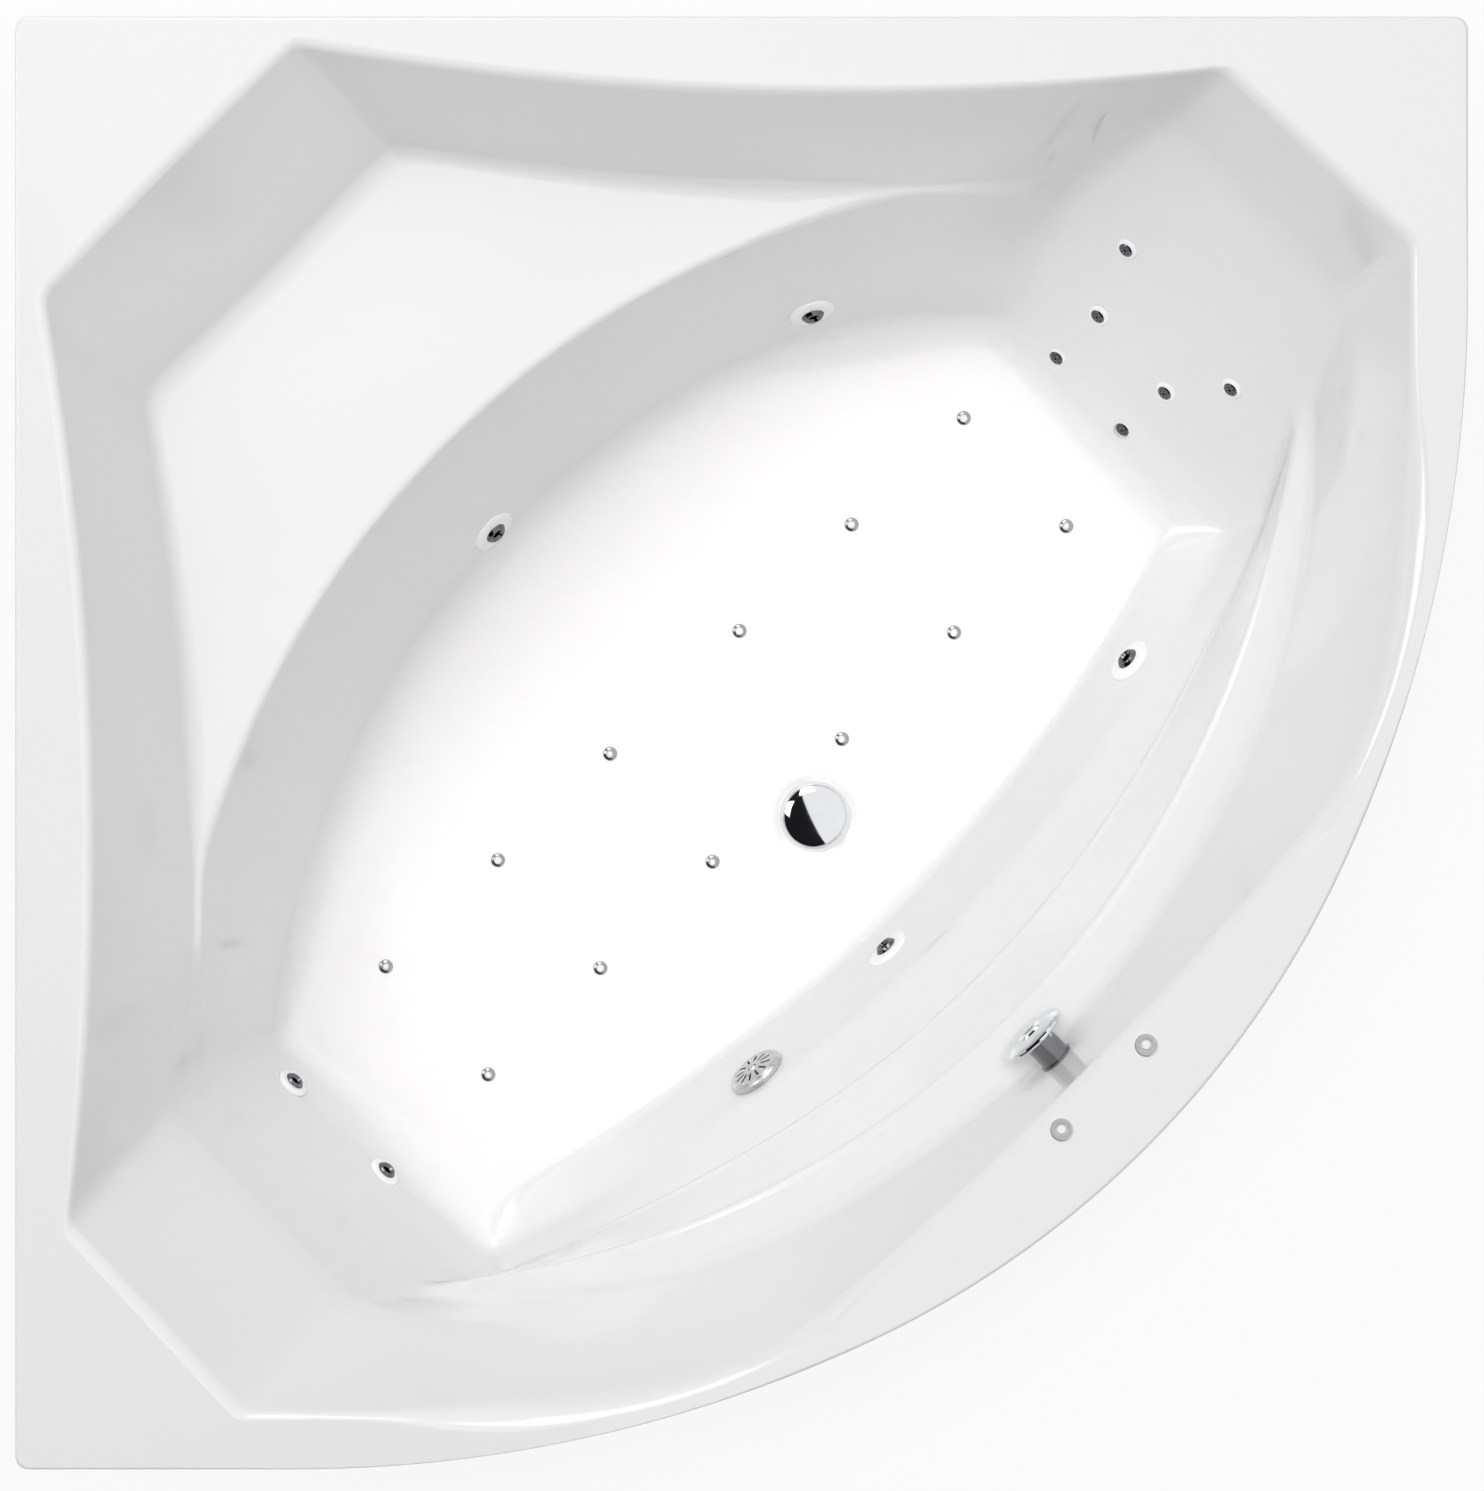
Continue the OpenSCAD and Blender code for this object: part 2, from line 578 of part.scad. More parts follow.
// Round bar or ring with its own z
module disc(r, z0, z1) {
    translate([0, 0, z0]) cylinder(r = r, h = z1 - z0, $fn = 48);
}
module ring(r_out, r_in, z0, z1) {
    difference() {
        disc(r_out, z0, z1);
        disc(r_in, z0 - 1, z1 + 1);
    }
}

// Solid of round section along a path: straight lengths that reach into elbows a little thicker than them
function turn_of(p, i) = let (a = unit(p[i] - p[i - 1]), b = unit(p[i + 1] - p[i])) acos(min(1, a * b));
function trim_of(p, i, bend) = i == 0 || i == len(p) - 1 ? 0 : bend * tan(turn_of(p, i) / 2) - 2;
module run(p, bend, r, step = 1) {
    for (i = [0:len(p) - 2]) {
        d = unit(p[i + 1] - p[i]);
        a = p[i] + d * trim_of(p, i, bend);
        multmatrix(turned(a, d))
            cylinder(r = r, h = norm(p[i + 1] - a) - trim_of(p, i + 1, bend), $fn = 48);
    }
    for (i = [1:1:len(p) - 2]) {
        d1 = unit(p[i] - p[i - 1]);
        d2 = unit(p[i + 1] - p[i]);
        n = unit(d2 - (d1 * d2) * d1);
        c = p[i] - d1 * (trim_of(p, i, bend) + 2) + n * bend;
        w = cross(-n, d1);
        multmatrix([[-n[0], d1[0], w[0], c[0]], [-n[1], d1[1], w[1], c[1]], [-n[2], d1[2], w[2], c[2]],
                    [0, 0, 0, 1]])
            rotate_extrude(angle = turn_of(p, i), $fn = 48)
                translate([bend, 0]) circle(r = r + step, $fn = 48);
    }
}
// The same path made a little longer at both ends, for the hollow of a pipe
function longer(p, e) =
    let (n = len(p) - 1)
    concat([p[0] - unit(p[1] - p[0]) * e], [for (i = [1:1:n - 1]) p[i]],
           [p[n] + unit(p[n] - p[n - 1]) * e]);
module pipe(p, bend, r_out, r_in) {
    difference() {
        run(p, bend, r_out);
        run(longer(p, 1), bend, r_in, -0.5);
    }
}

// Heights under the basin
floor_in = rim_h - basin_d;
floor_out = floor_in - shell_t;
dish_in = floor_in - dish_z;
dish_out = dish_in - shell_t;
board_z = floor_out - board_t;
upper_z = board_z - tube;
lower_z = upper_z - tube;
rim_out = rim_h - shell_t;
block_z = rim_out - block_t;
plate_z = block_z - plate_t;

// Positions in the frame: rails, uprights and feet
mid_u = -10;
mid_half = 920;
rear_u = -150;
front_rail_u = 165;
cross_v = 300;
cross_from = -690;
front_post_u = 512;
wall_post_u = -985;
posts = [[wall_post_u, 0, upper_z],
         [mid_u, mid_half - tube / 2, board_z], [mid_u, tube / 2 - mid_half, board_z],
         [front_post_u, cross_v, upper_z], [front_post_u, -cross_v, upper_z]];
feet = [[-940, 0, lower_z], [mid_u, 860, upper_z], [mid_u, -860, upper_z], [450, cross_v, lower_z],
        [450, -cross_v, lower_z], [-300, cross_v, lower_z], [-300, -cross_v, lower_z]];

module floor_board() {
    color("tan") uv() difference() {
        intersection() {
            translate([seat_c, 0, board_z]) cylinder(r = fold_r - 85, h = board_t, $fn = 90);
            translate([front_u - floor_run - floor_r, 0, board_z])
                cylinder(r = floor_r - 16, h = board_t, $fn = 90);
            translate([-400, -400, board_z]) cube([800, 800, board_t]);
        }
        for (p = air_list) translate([p[0], p[1], board_z - 1])
            cylinder(r = air_hole_r, h = board_t + 2, $fn = 48);
        translate([drain_u, 0, board_z - 1]) cylinder(r = dish_r + 10, h = board_t + 2, $fn = 48);
    }
}

// Square tube lying along u, along v or standing
module tube_u(u0, u1, v, z) {
    translate([u0, v - tube / 2, z]) difference() {
        cube([u1 - u0, tube, tube]);
        translate([-1, tube_wall, tube_wall])
            cube([u1 - u0 + 2, tube - 2 * tube_wall, tube - 2 * tube_wall]);
    }
}
module tube_v(u, v0, v1, z) {
    translate([u - tube / 2, v0, z]) difference() {
        cube([tube, v1 - v0, tube]);
        translate([tube_wall, -1, tube_wall])
            cube([tube - 2 * tube_wall, v1 - v0 + 2, tube - 2 * tube_wall]);
    }
}
module tube_z(u, v, z0, z1) {
    translate([u - tube / 2, v - tube / 2, z0]) difference() {
        cube([tube, tube, z1 - z0]);
        translate([tube_wall, tube_wall, tube_wall])
            cube([tube - 2 * tube_wall, tube - 2 * tube_wall, z1 - z0]);
    }
}
module frame() {
    color("silver") uv() difference() {
        union() {
            tube_v(mid_u, -mid_half, mid_half, upper_z);
            tube_v(rear_u, -cross_v - tube / 2, cross_v + tube / 2, upper_z);
            tube_v(front_rail_u, -cross_v - tube / 2, cross_v + tube / 2, upper_z);
            for (s = [-1, 1]) tube_u(cross_from, front_post_u + tube / 2, s * cross_v, lower_z);
            tube_u(wall_post_u - tube / 2, mid_u + tube / 2, 0, lower_z);
            for (p = posts) tube_z(p[0], p[1], p[2], plate_z);
        }
        for (f = feet) translate([f[0], f[1], f[2] - 1])
            cylinder(r = rod_r + fit_gap, h = tube + 2, $fn = 48);
    }
}
module rim_brackets() {
    color("silver") uv() for (p = posts) translate([p[0], p[1], plate_z]) difference() {
        translate([-plate_w / 2, -plate_l / 2, 0]) cube([plate_w, plate_l, plate_t]);
        for (s = [-1, 1]) translate([0, s * screw_off, -1])
            cylinder(r = screw_r + 0.25, h = plate_t + 2, $fn = 24);
    }
}
module rim_blocks() {
    color("tan") uv() for (p = posts) translate([p[0], p[1], block_z]) difference() {
        translate([-plate_w / 2, -plate_l / 2, 0]) cube([plate_w, plate_l, block_t]);
        for (s = [-1, 1]) translate([0, s * screw_off, -1]) cylinder(r = screw_r + 0.05, h = 11, $fn = 24);
    }
}
module frame_screws() {
    color("silver") uv() for (p = posts, s = [-1, 1]) translate([p[0], p[1] + s * screw_off, plate_z]) {
        difference() {
            disc(4, -2.5, 0);
            for (a = [0, 90]) rotate([0, 0, a]) translate([-2.5, -0.5, -3]) cube([5, 1, 1.5]);
        }
        disc(screw_r, 0, plate_t + 9);
    }
}
module foot_rods() {
    color("silver") uv() for (f = feet) translate([f[0], f[1], 0]) disc(rod_r, pad_h, rod_top);
}
module foot_nuts() {
    color("silver") uv() for (f = feet, z = [f[2] - nut_h, f[2] + tube]) translate([f[0], f[1], z])
        difference() {
            cylinder(r = 10.4, h = nut_h, $fn = 6);
            disc(rod_r + 0.05, -1, nut_h + 1);
        }
}
module foot_pads() {
    color("dimgray") uv() for (f = feet) translate([f[0], f[1], 0]) difference() {
        rotate_extrude($fn = 48) polygon([[0, 0], [pad_r - 1, 0], [pad_r, 1], [pad_r, 4],
            [rod_r + 7, pad_h], [rod_r + 6, pad_h + 8], [0, pad_h + 8]]);
        disc(rod_r + 0.05, pad_h, pad_h + 20);
    }
}

// Drain
throat_r = 24;
module drain_flange() {
    color("silver") uv() translate([drain_u, 0, dish_in]) {
        difference() {
            union() {
                rotate_extrude($fn = 48) polygon([[0, 0], [plug_r + 2.4, 0], [plug_r + 3, 0.6],
                                                  [plug_r + 2.2, 2], [0, 2]]);
                disc(throat_r, -28, 1);
            }
            disc(throat_r - 3, -30, 3);
        }
        difference() {
            union() {
                disc(7, -20, -10);
                for (a = [30, 150, 270]) rotate([0, 0, a])
                    translate([5.5, -1.5, -19]) cube([throat_r - 7.5, 3, 8]);
            }
            disc(stem_r + run_fit, -21, 0);
        }
    }
}
module drain_gasket() {
    color("black") uv() translate([drain_u, 0, dish_out]) ring(throat_r + 9, throat_r + 0.5, -3, 0);
}
module drain_body() {
    color("dimgray") uv() translate([drain_u, 0, 0]) difference() {
        union() {
            disc(throat_r + 9, dish_out - 7, dish_out - 3);
            disc(throat_r + 3, body_z, dish_out - 3);
            translate([0, 0, over_z]) rotate([0, 90, 0]) disc(tail_r, 0, throat_r + 3 + 22);
            translate([0, 0, over_z]) rotate([90, 0, 0]) disc(6, 0, throat_r + 3 + 11);
        }
        disc(throat_r + 0.1, dish_in - 28, dish_out + 1);
        disc(throat_r - 4, body_z - 1, dish_in - 20);
        translate([0, 0, over_z]) rotate([0, 90, 0]) disc(tail_r - 2.5, 0, 80);
    }
}
module drain_plug() {
    color("silver") uv() translate([drain_u, 0, dish_in + 3.5]) {
        rotate_extrude($fn = 60) polygon(concat([[0, 0], [plug_r - 1, 0], [plug_r, 0.8]],
            [for (a = [75:-15:0]) [plug_r * sin(a) * 0.995, 1.4 + 6 * cos(a)]]));
        disc(stem_r, -36 - plug_lift, 1);
    }
}
module plug_seal() {
    color("black") uv() translate([drain_u, 0, dish_in]) ring(plug_r - 3, plug_r - 8, 2, 3.5);
}
module trap() {
    color("dimgray") uv() translate([drain_u, 0, 0]) difference() {
        union() {
            disc(trap_r, 8, body_z - 12);
            disc(throat_r + 3, body_z - 13, body_z);
            translate([0, 0, waste_z]) rotate([0, -90, 0]) disc(waste_r + 3, throat_r + 10, trap_r + 4);
            translate([0, 0, waste_z]) rotate([0, -90, 0]) disc(waste_r, 0, trap_r + waste_l);
        }
        difference() {
            disc(trap_r - 4, 12, body_z - 16);
            disc(throat_r - 1, 22, body_z);
        }
        disc(throat_r - 4, 20, body_z + 1);
        translate([-throat_r - 2, 0, waste_z]) rotate([0, -90, 0]) disc(waste_r - 2.5, 0, 200);
    }
}
module trap_nut() {
    color("dimgray") uv() translate([drain_u, 0, 0]) difference() {
        union() {
            disc(throat_r + 7, body_z - 12, body_z + 5);
            for (a = [0:30:330]) rotate([0, 0, a])
                translate([throat_r + 5, -2, body_z - 12]) cube([4, 4, 17]);
        }
        disc(throat_r + 3.05, body_z - 13, body_z + 10);
    }
}

// Overflow with its knob
chamber_z = back_z - 3;
shaft_r = 4;
hub_r = neck_r - 3.4 - run_fit;
module overflow_neck() {
    color("silver") uv() on(overflow) difference() {
        union() {
            disc(neck_r + 2, 0, 3);
            disc(neck_r, chamber_z - 10, neck_l - 1);
        }
        disc(neck_r - 3.4, chamber_z - 11, neck_l);
        for (a = [-150, -90, -30]) rotate([0, 0, a]) translate([neck_r - 8, -6, 6]) cube([14, 12, 14]);
        translate([0, 0, neck_l - 7]) rotate([0, 0, 140]) rotate([0, 90, 0]) disc(2.5, 4, 30);
    }
}
module overflow_screw() {
    color("silver") uv() on(overflow) translate([0, 0, neck_l - 7]) rotate([0, 0, 140]) rotate([0, 90, 0])
        difference() {
            disc(2.5, neck_r - 3.2, neck_r - 0.4);
            translate([0, 0, neck_r - 1.6]) cylinder(r = 1.2, h = 3, $fn = 6);
        }
}
module overflow_knob() {
    color("silver") uv() on(overflow) {
        rotate_extrude($fn = 72) polygon(concat(
            [[0, neck_l], [knob_r - 2, neck_l], [knob_r - 0.6, neck_l + 1]],
            [for (a = [0:10:80]) [knob_r * cos(a * 0.98), neck_l + 3 + (knob_h - 3) * sin(a)]],
            [[0, neck_l + knob_h]]));
        disc(hub_r, neck_l - 11, neck_l + 1);
        disc(shaft_r, chamber_z - 28, neck_l - 10);
        difference() {
            disc(11, chamber_z - 25, chamber_z - 13);
            translate([0, 0, chamber_z - 19]) rotate_extrude($fn = 48)
                translate([12, 0]) circle(r = 3, $fn = 24);
        }
    }
}
module overflow_gasket() {
    color("black") uv() on(overflow) ring(28, neck_r + 0.5, chamber_z, back_z);
}
module overflow_body() {
    color("dimgray") uv() on(overflow) difference() {
        union() {
            disc(31, chamber_z - 30, chamber_z);
            translate([0, 0, chamber_z - 15]) rotate([90, 0, 0]) disc(tail_r, 20, 31 + 25);
            translate([24, 0, chamber_z - 15]) rotate([90, 0, 0]) disc(5, 12, 30);
        }
        disc(27, chamber_z - 26, chamber_z - 4);
        disc(neck_r + 0.1, chamber_z - 5, chamber_z + 1);
        disc(shaft_r + run_fit, chamber_z - 28, chamber_z - 20);
        translate([0, 0, chamber_z - 15]) rotate([90, 0, 0]) disc(tail_r - 2.5, 10, 80);
    }
}
over_mid = chamber_z - 15;
over_low = loc(overflow, [0, -85, over_mid]);
module overflow_pipe() {
    color("lightgray") uv() pipe([loc(overflow, [0, -33, over_mid]), over_low, [over_low[0], 0, over_z],
        [drain_u + throat_r + 6, 0, over_z]], 40, tail_r + 3, tail_r + 0.1);
}
cable_low = loc(overflow, [24, -80, over_mid]);
module bowden_cable() {
    color("dimgray") uv() run([loc(overflow, [24, -30, over_mid]), cable_low,
        [cable_low[0], cable_low[1], over_z], [400, -60, over_z], [drain_u, -60, over_z],
        [drain_u, -throat_r - 3 - 11, over_z]], 19, 3, 0.3);
}

// Jets with a swivel ball
gasket_t = 3;
ball_z = -2;
module jet_face(flange_r, sleeve_r, ball_r) {
    difference() {
        union() {
            rotate_extrude($fn = 48) polygon([[0, 0], [flange_r, 0], [flange_r, 1.4], [flange_r - 0.8, 2.4],
                [(flange_r + ball_r) / 2, jet_face_t - 0.4], [ball_r + 0.5, jet_face_t], [0, jet_face_t]]);
            disc(sleeve_r, back_z - 22, 0.5);
        }
        translate([0, 0, ball_z]) sphere(r = ball_r + run_fit, $fn = 48);
        disc(ball_r + run_fit, back_z - 23, ball_z);
    }
}
module jet_ball(ball_r) {
    difference() {
        intersection() {
            translate([0, 0, ball_z]) sphere(r = ball_r, $fn = 48);
            disc(ball_r + 1, ball_z - ball_r + 3, ball_z + ball_r * 0.72);
        }
        disc(ball_r * 0.36, -30, 30);
        translate([0, 0, ball_z + ball_r * 0.72 - 2.4])
            cylinder(r1 = ball_r * 0.36, r2 = ball_r * 0.56, h = 2.5, $fn = 48);
    }
}
module jet_body(sleeve_r, body_l) {
    z1 = back_z - gasket_t;
    difference() {
        union() {
            disc(sleeve_r + 7, z1 - 4, z1);
            disc(sleeve_r + 3.5, z1 - body_l, z1);
            for (a = [0:60:300]) rotate([0, 0, a])
                translate([sleeve_r + 2, -1.5, z1 - 20]) cube([4, 3, 18]);
            disc(jet_tail_r, z1 - body_l - 22, z1 - body_l + 1);
        }
        disc(sleeve_r + 0.1, back_z - 22, z1 + 1);
        disc(sleeve_r - 2, z1 - body_l + 4, z1);
        disc(jet_tail_r - 2, z1 - body_l - 23, z1);
    }
}
module side_jet_faces() {
    color("white") uv() for (f = side_jets) on(f) jet_face(side_flange_r, side_sleeve_r, side_ball_r);
}
module foot_jet_faces() {
    color("white") uv() for (f = foot_jets) on(f) jet_face(foot_flange_r, foot_sleeve_r, foot_ball_r);
}
module side_jet_bodies() {
    color("lightgray") uv() for (f = side_jets) on(f) jet_body(side_sleeve_r, jet_body_l);
}
module foot_jet_bodies() {
    color("lightgray") uv() for (f = foot_jets) on(f) jet_body(foot_sleeve_r, foot_body_l);
}
module jet_gaskets() {
    color("black") uv() {
        for (f = side_jets) on(f) ring(side_sleeve_r + 7, side_sleeve_r + 0.4, back_z - gasket_t, back_z);
        for (f = foot_jets) on(f) ring(foot_sleeve_r + 7, foot_sleeve_r + 0.4, back_z - gasket_t, back_z);
    }
}
module jet_nozzle(i) {
    color("silver") uv() if (i < 4) on(side_jets[i]) jet_ball(side_ball_r);
    else on(foot_jets[i - 4]) jet_ball(foot_ball_r);
}
module jet_nozzle_1() { jet_nozzle(0); }
module jet_nozzle_2() { jet_nozzle(1); }
module jet_nozzle_3() { jet_nozzle(2); }
module jet_nozzle_4() { jet_nozzle(3); }
module jet_nozzle_5() { jet_nozzle(4); }
module jet_nozzle_6() { jet_nozzle(5); }

// Small jets in the backrest
module micro_jet_faces() {
    color("white") uv() for (f = micro_jets) on(f) difference() {
        union() {
            rotate_extrude($fn = 48) polygon([[0, 0], [micro_r, 0], [micro_r, 0.8], [micro_r - 0.8, 1.8],
                                              [micro_cap_r, 2.6], [0, 2.6]]);
            disc(micro_stem_r, back_z - 14, 0.5);
        }
        disc(micro_cap_r - 1.5, back_z - 15, 4);
        disc(micro_cap_r, 1, 4);
    }
}
module micro_jet_caps() {
    color("silver") uv() for (f = micro_jets) on(f) difference() {
        union() {
            rotate_extrude($fn = 48) polygon([[0, 1], [micro_cap_r - 0.05, 1], [micro_cap_r - 0.05, 2.8],
                                              [micro_cap_r - 1.5, 3.8], [0, 4.2]]);
            disc(micro_cap_r - 1.6, -6, 1.5);
        }
        disc(1.6, -7, 6);
        for (a = [0:60:300]) rotate([0, 0, a]) translate([4.2, 0, 0]) disc(0.9, -7, 6);
    }
}
module micro_jet_bodies() {
    color("lightgray") uv() for (f = micro_jets) on(f) difference() {
        union() {
            disc(micro_stem_r + 4, back_z - 4, back_z);
            disc(micro_stem_r + 2.4, back_z - 4 - micro_body_l, back_z - 3);
        }
        disc(micro_stem_r + 0.1, back_z - 14, back_z + 1);
        disc(micro_stem_r - 2, back_z - 5 - micro_body_l, back_z - 10);
    }
}
chamber_top = back_z - 4 - micro_body_l;
function mean3(i) = (micro_jets[i][0] + micro_jets[i + 1][0] + micro_jets[i + 2][0]) / 3;
chambers = [[mean3(0), micro_jets[1][1]], [mean3(3), micro_jets[1][1]]];
chamber_w = [68, 92];
supply = [[chambers[0][0][0], 690, 165], [chambers[1][0][0], 690, 165]];
function chamber_loc(i, p) = let (m = turned(chambers[i][0], chambers[i][1]), d = p - chambers[i][0])
    [for (c = [0:2]) m[0][c] * d[0] + m[1][c] * d[1] + m[2][c] * d[2]];
module water_chambers() {
    color("lightgray") uv() for (i = [0, 1]) on(chambers[i]) difference() {
        q = chamber_loc(i, supply[i]);
        union() {
            translate([-chamber_w[i] / 2, -122, chamber_top - chamber_t])
                cube([chamber_w[i], 244, chamber_t]);
            translate([q[0], q[1], chamber_top - chamber_t]) disc(jet_tail_r, -22, 1);
        }
        translate([3 - chamber_w[i] / 2, -119, chamber_top - chamber_t + 3])
            cube([chamber_w[i] - 6, 238, chamber_t - 6]);
        translate([q[0], q[1], chamber_top - chamber_t]) disc(jet_tail_r - 2, -23, 5);
        for (k = [0:2]) {
            g = chamber_loc(i, micro_jets[3 * i + k][0]);
            translate([g[0], g[1], 0]) disc(micro_stem_r - 2, chamber_top - 4, chamber_top + 1);
        }
    }
}

// Air nozzles in the floor
saddle_z = board_z - 10;
module air_nozzle_caps() {
    color("white") uv() for (p = air_list) translate([p[0], p[1], floor_in]) difference() {
        union() {
            rotate_extrude($fn = 48) polygon([[0, 0], [air_r, 0], [air_r, 0.6], [air_r - 1, 1.6],
                                              [air_r - 3, 2.2], [0, 2.2]]);
            disc(air_stem_r, -shell_t - 10, 0.5);
        }
        disc(4, -8, 3);
        disc(2.5, -shell_t - 11, 0);
    }
}
module air_nozzle_pins() {
    color("white") uv() for (p = air_list) translate([p[0], p[1], floor_in]) {
        disc(3.95, -8, -6);
        disc(2.5, -7, 2);
    }
}
module air_nozzle_bodies() {
    color("gray") uv() for (p = air_list) translate([p[0], p[1], 0]) difference() {
        union() {
            disc(10, floor_out - 4, floor_out);
            disc(8, saddle_z, floor_out - 3);
        }
        disc(air_stem_r + 0.1, floor_out - 10, floor_out + 1);
        disc(3, saddle_z - 1, floor_out);
    }
}
function on_row(side, v) =
    let (a = air_at(0, side), b = air_at(5, side)) a + (b - a) * (v - a[1]) / (b[1] - a[1]);
row_z = saddle_z - 10;
module air_pipework() {
    color("lightgray") uv() difference() {
        union() {
            for (s = [-1, 1]) {
                a = on_row(s, -460);
                b = on_row(s, head_v);
                run([[a[0], a[1], row_z], [b[0], b[1], row_z], [b[0], b[1], head_z]], 22, row_r);
            }
            for (p = air_list) translate([p[0], p[1], 0]) disc(8, row_z, saddle_z);
            run(air_path, 40, main_r);
        }
        for (s = [-1, 1]) {
            a = on_row(s, -458);
            b = on_row(s, head_v);
            run([[a[0], a[1], row_z], [b[0], b[1], row_z], [b[0], b[1], head_z]], 22, row_r - 2, -0.5);
        }
        for (p = air_list) translate([p[0], p[1], 0]) disc(3, row_z, saddle_z + 1);
        run(concat([air_path[0] + [0, -1, 0]], [for (i = [1:len(air_path) - 2]) air_path[i]],
            [air_path[len(air_path) - 1] - [3, 0, 0]]), 40, main_r - 2.5, -0.5);
    }
}
head_v = 440;
head_z = 45;
air_path = [[blower_u + 55, blower_v + 92, blower_z], [blower_u + 55, head_v, blower_z],
            [blower_u + 55, head_v, head_z], [110, head_v, head_z]];

// Suction
module suction_cover() {
    color("silver") uv() on(suction) difference() {
        rotate_extrude($fn = 60) polygon([[0, 3], [suction_r - 5, 3], [suction_r - 4, 1], [suction_r, 1],
            [suction_r, 5], [suction_r - 2, 7], [suction_r - 4, 6.4], [suction_r - 6, 8],
            [10, 10], [0, 10]]);
        for (a = [0:30:330]) rotate([0, 0, a]) translate([11, -1.25, 0]) cube([11, 2.5, 20]);
        disc(screw_r + 0.6, 0, 20);
        disc(5, 8, 20);
    }
}
module suction_screw() {
    color("silver") uv() on(suction) difference() {
        union() {
            rotate_extrude($fn = 48) polygon([[0, 8], [4.4, 8], [4.4, 9], [3, 10.6], [0, 11]]);
            disc(screw_r + 0.4, -9, 8.5);
        }
        for (a = [0, 90]) rotate([0, 0, a]) translate([-2.2, -0.5, 9.6]) cube([4.4, 1, 3]);
    }
}
module suction_fitting() {
    color("lightgray") uv() on(suction) difference() {
        union() {
            difference() {
                union() {
                    disc(26, 0, 3);
                    disc(suction_sleeve_r, -60, 1);
                }
                disc(suction_sleeve_r - 3, -61, 4);
            }
            disc(6, -14, 2.6);
            for (a = [0:90:270]) rotate([0, 0, a + 15])
                translate([4.5, -1.2, -13]) cube([suction_sleeve_r - 6, 2.4, 14]);
        }
        disc(screw_r + 0.4, -10, 4);
    }
}
module suction_nut() {
    color("lightgray") uv() on(suction) difference() {
        union() {
            disc(29, back_z - 12, back_z);
            for (a = [0:30:330]) rotate([0, 0, a]) translate([27, -2, back_z - 12]) cube([4, 4, 9]);
        }
        disc(suction_sleeve_r + 0.1, back_z - 13, back_z + 1);
    }
}
suction_turn = loc(suction, [0, 0, -92]);
module suction_pipe() {
    color("lightgray") uv() pipe([loc(suction, [0, 0, -34]), suction_turn,
        [suction_turn[0], suction_turn[1], 38], [-420, -250, 38], [pump_u, pump_v - 80, 38],
        [pump_u, pump_v - 80, pump_z], [pump_u, pump_v - 5, pump_z]],
        40, suction_pipe_r, suction_sleeve_r + 0.1);
}

// Water pipes from the pump to the jets
function reach(i) = i < 2 ? 100 : i < 4 ? 125 : 74;
function jet_at(i) = i < 4 ? side_jets[i] : foot_jets[i - 4];
tee = [for (i = [0:5]) loc(jet_at(i), [0, 0, -reach(i)])];
function beyond(a, b, d) = b + unit(b - a) * d;
pump_line = beyond(tee[1], tee[0], 330);
pump_tee = tee[0] + (pump_line - tee[0]) * ((pump_v + 35 - tee[0][1]) / (pump_line[1] - tee[0][1]));
main_path = [[supply[1][0] + 40, supply[1][1], supply[1][2]], [-150, 690, 165], beyond(tee[0], tee[1], 120),
             pump_line, beyond(tee[5], tee[4], 220), beyond(tee[4], tee[5], 130),
             beyond(tee[2], tee[3], 300), beyond(tee[3], tee[2], 40)];
riser = [[pump_u, pump_v + 35, pump_z + 92], [pump_u, pump_v + 35, pump_z + 150],
         [pump_tee[0], pump_tee[1], pump_z + 150], pump_tee];
function branch_at(i) = back_z - gasket_t - (i < 4 ? jet_body_l : foot_body_l) - 2;
module water_pipework() {
    color("lightgray") uv() difference() {
        union() {
            run(main_path, 45, main_r);
            run(riser, 40, main_r);
            for (i = [0:5]) run([loc(jet_at(i), [0, 0, branch_at(i)]), tee[i]], 1, jet_tail_r + 3);
            for (i = [0, 1]) run([stub_end(i), supply[i]], 1, jet_tail_r + 3);
        }
        run(longer(main_path, -3), 45, main_r - 2.5, -0.5);
        run(concat([riser[0] - [0, 0, 1]], [for (k = [1:3]) riser[k]]), 40, main_r - 2.5, -0.5);
        for (i = [0:5]) run([loc(jet_at(i), [0, 0, branch_at(i) + 1]), tee[i]], 1, jet_tail_r + 0.1);
        for (i = [0, 1]) run([stub_end(i) + chambers[i][1], supply[i]], 1, jet_tail_r + 0.1);
    }
}
function stub_end(i) =
    let (q = chamber_loc(i, supply[i])) loc(chambers[i], [q[0], q[1], chamber_top - chamber_t - 2]);

// Pump on the equipment board
module equipment_board() {
    color("tan") uv() translate([-680, -345, upper_z]) cube([335, 690, 16]);
}
module along_v(u, v, z) {
    translate([u, v, z]) rotate([-90, 0, 0]) children();
}
module pump_wet_end() {
    color("dimgray") uv() along_v(pump_u, pump_v, pump_z) difference() {
        union() {
            disc(pump_r, 0, 80);
            disc(suction_pipe_r + 4, -28, 1);
            translate([0, 0, 35]) rotate([90, 0, 0]) disc(main_r + 4, 0, 110);
            for (a = [0:45:315]) rotate([0, 0, a + 22.5]) translate([pump_r - 3, 0, 0]) disc(6, 12, 77);
        }
        disc(suction_pipe_r + 0.1, -29, -5);
        disc(20, -6, 12);
        disc(62, 10, 60);
        disc(pump_shaft_r + run_fit, 50, 81);
        translate([0, 0, 35]) rotate([90, 0, 0]) disc(main_r - 2.5, 55, 95);
        translate([0, 0, 35]) rotate([90, 0, 0]) disc(main_r + 0.1, 92, 111);
    }
}
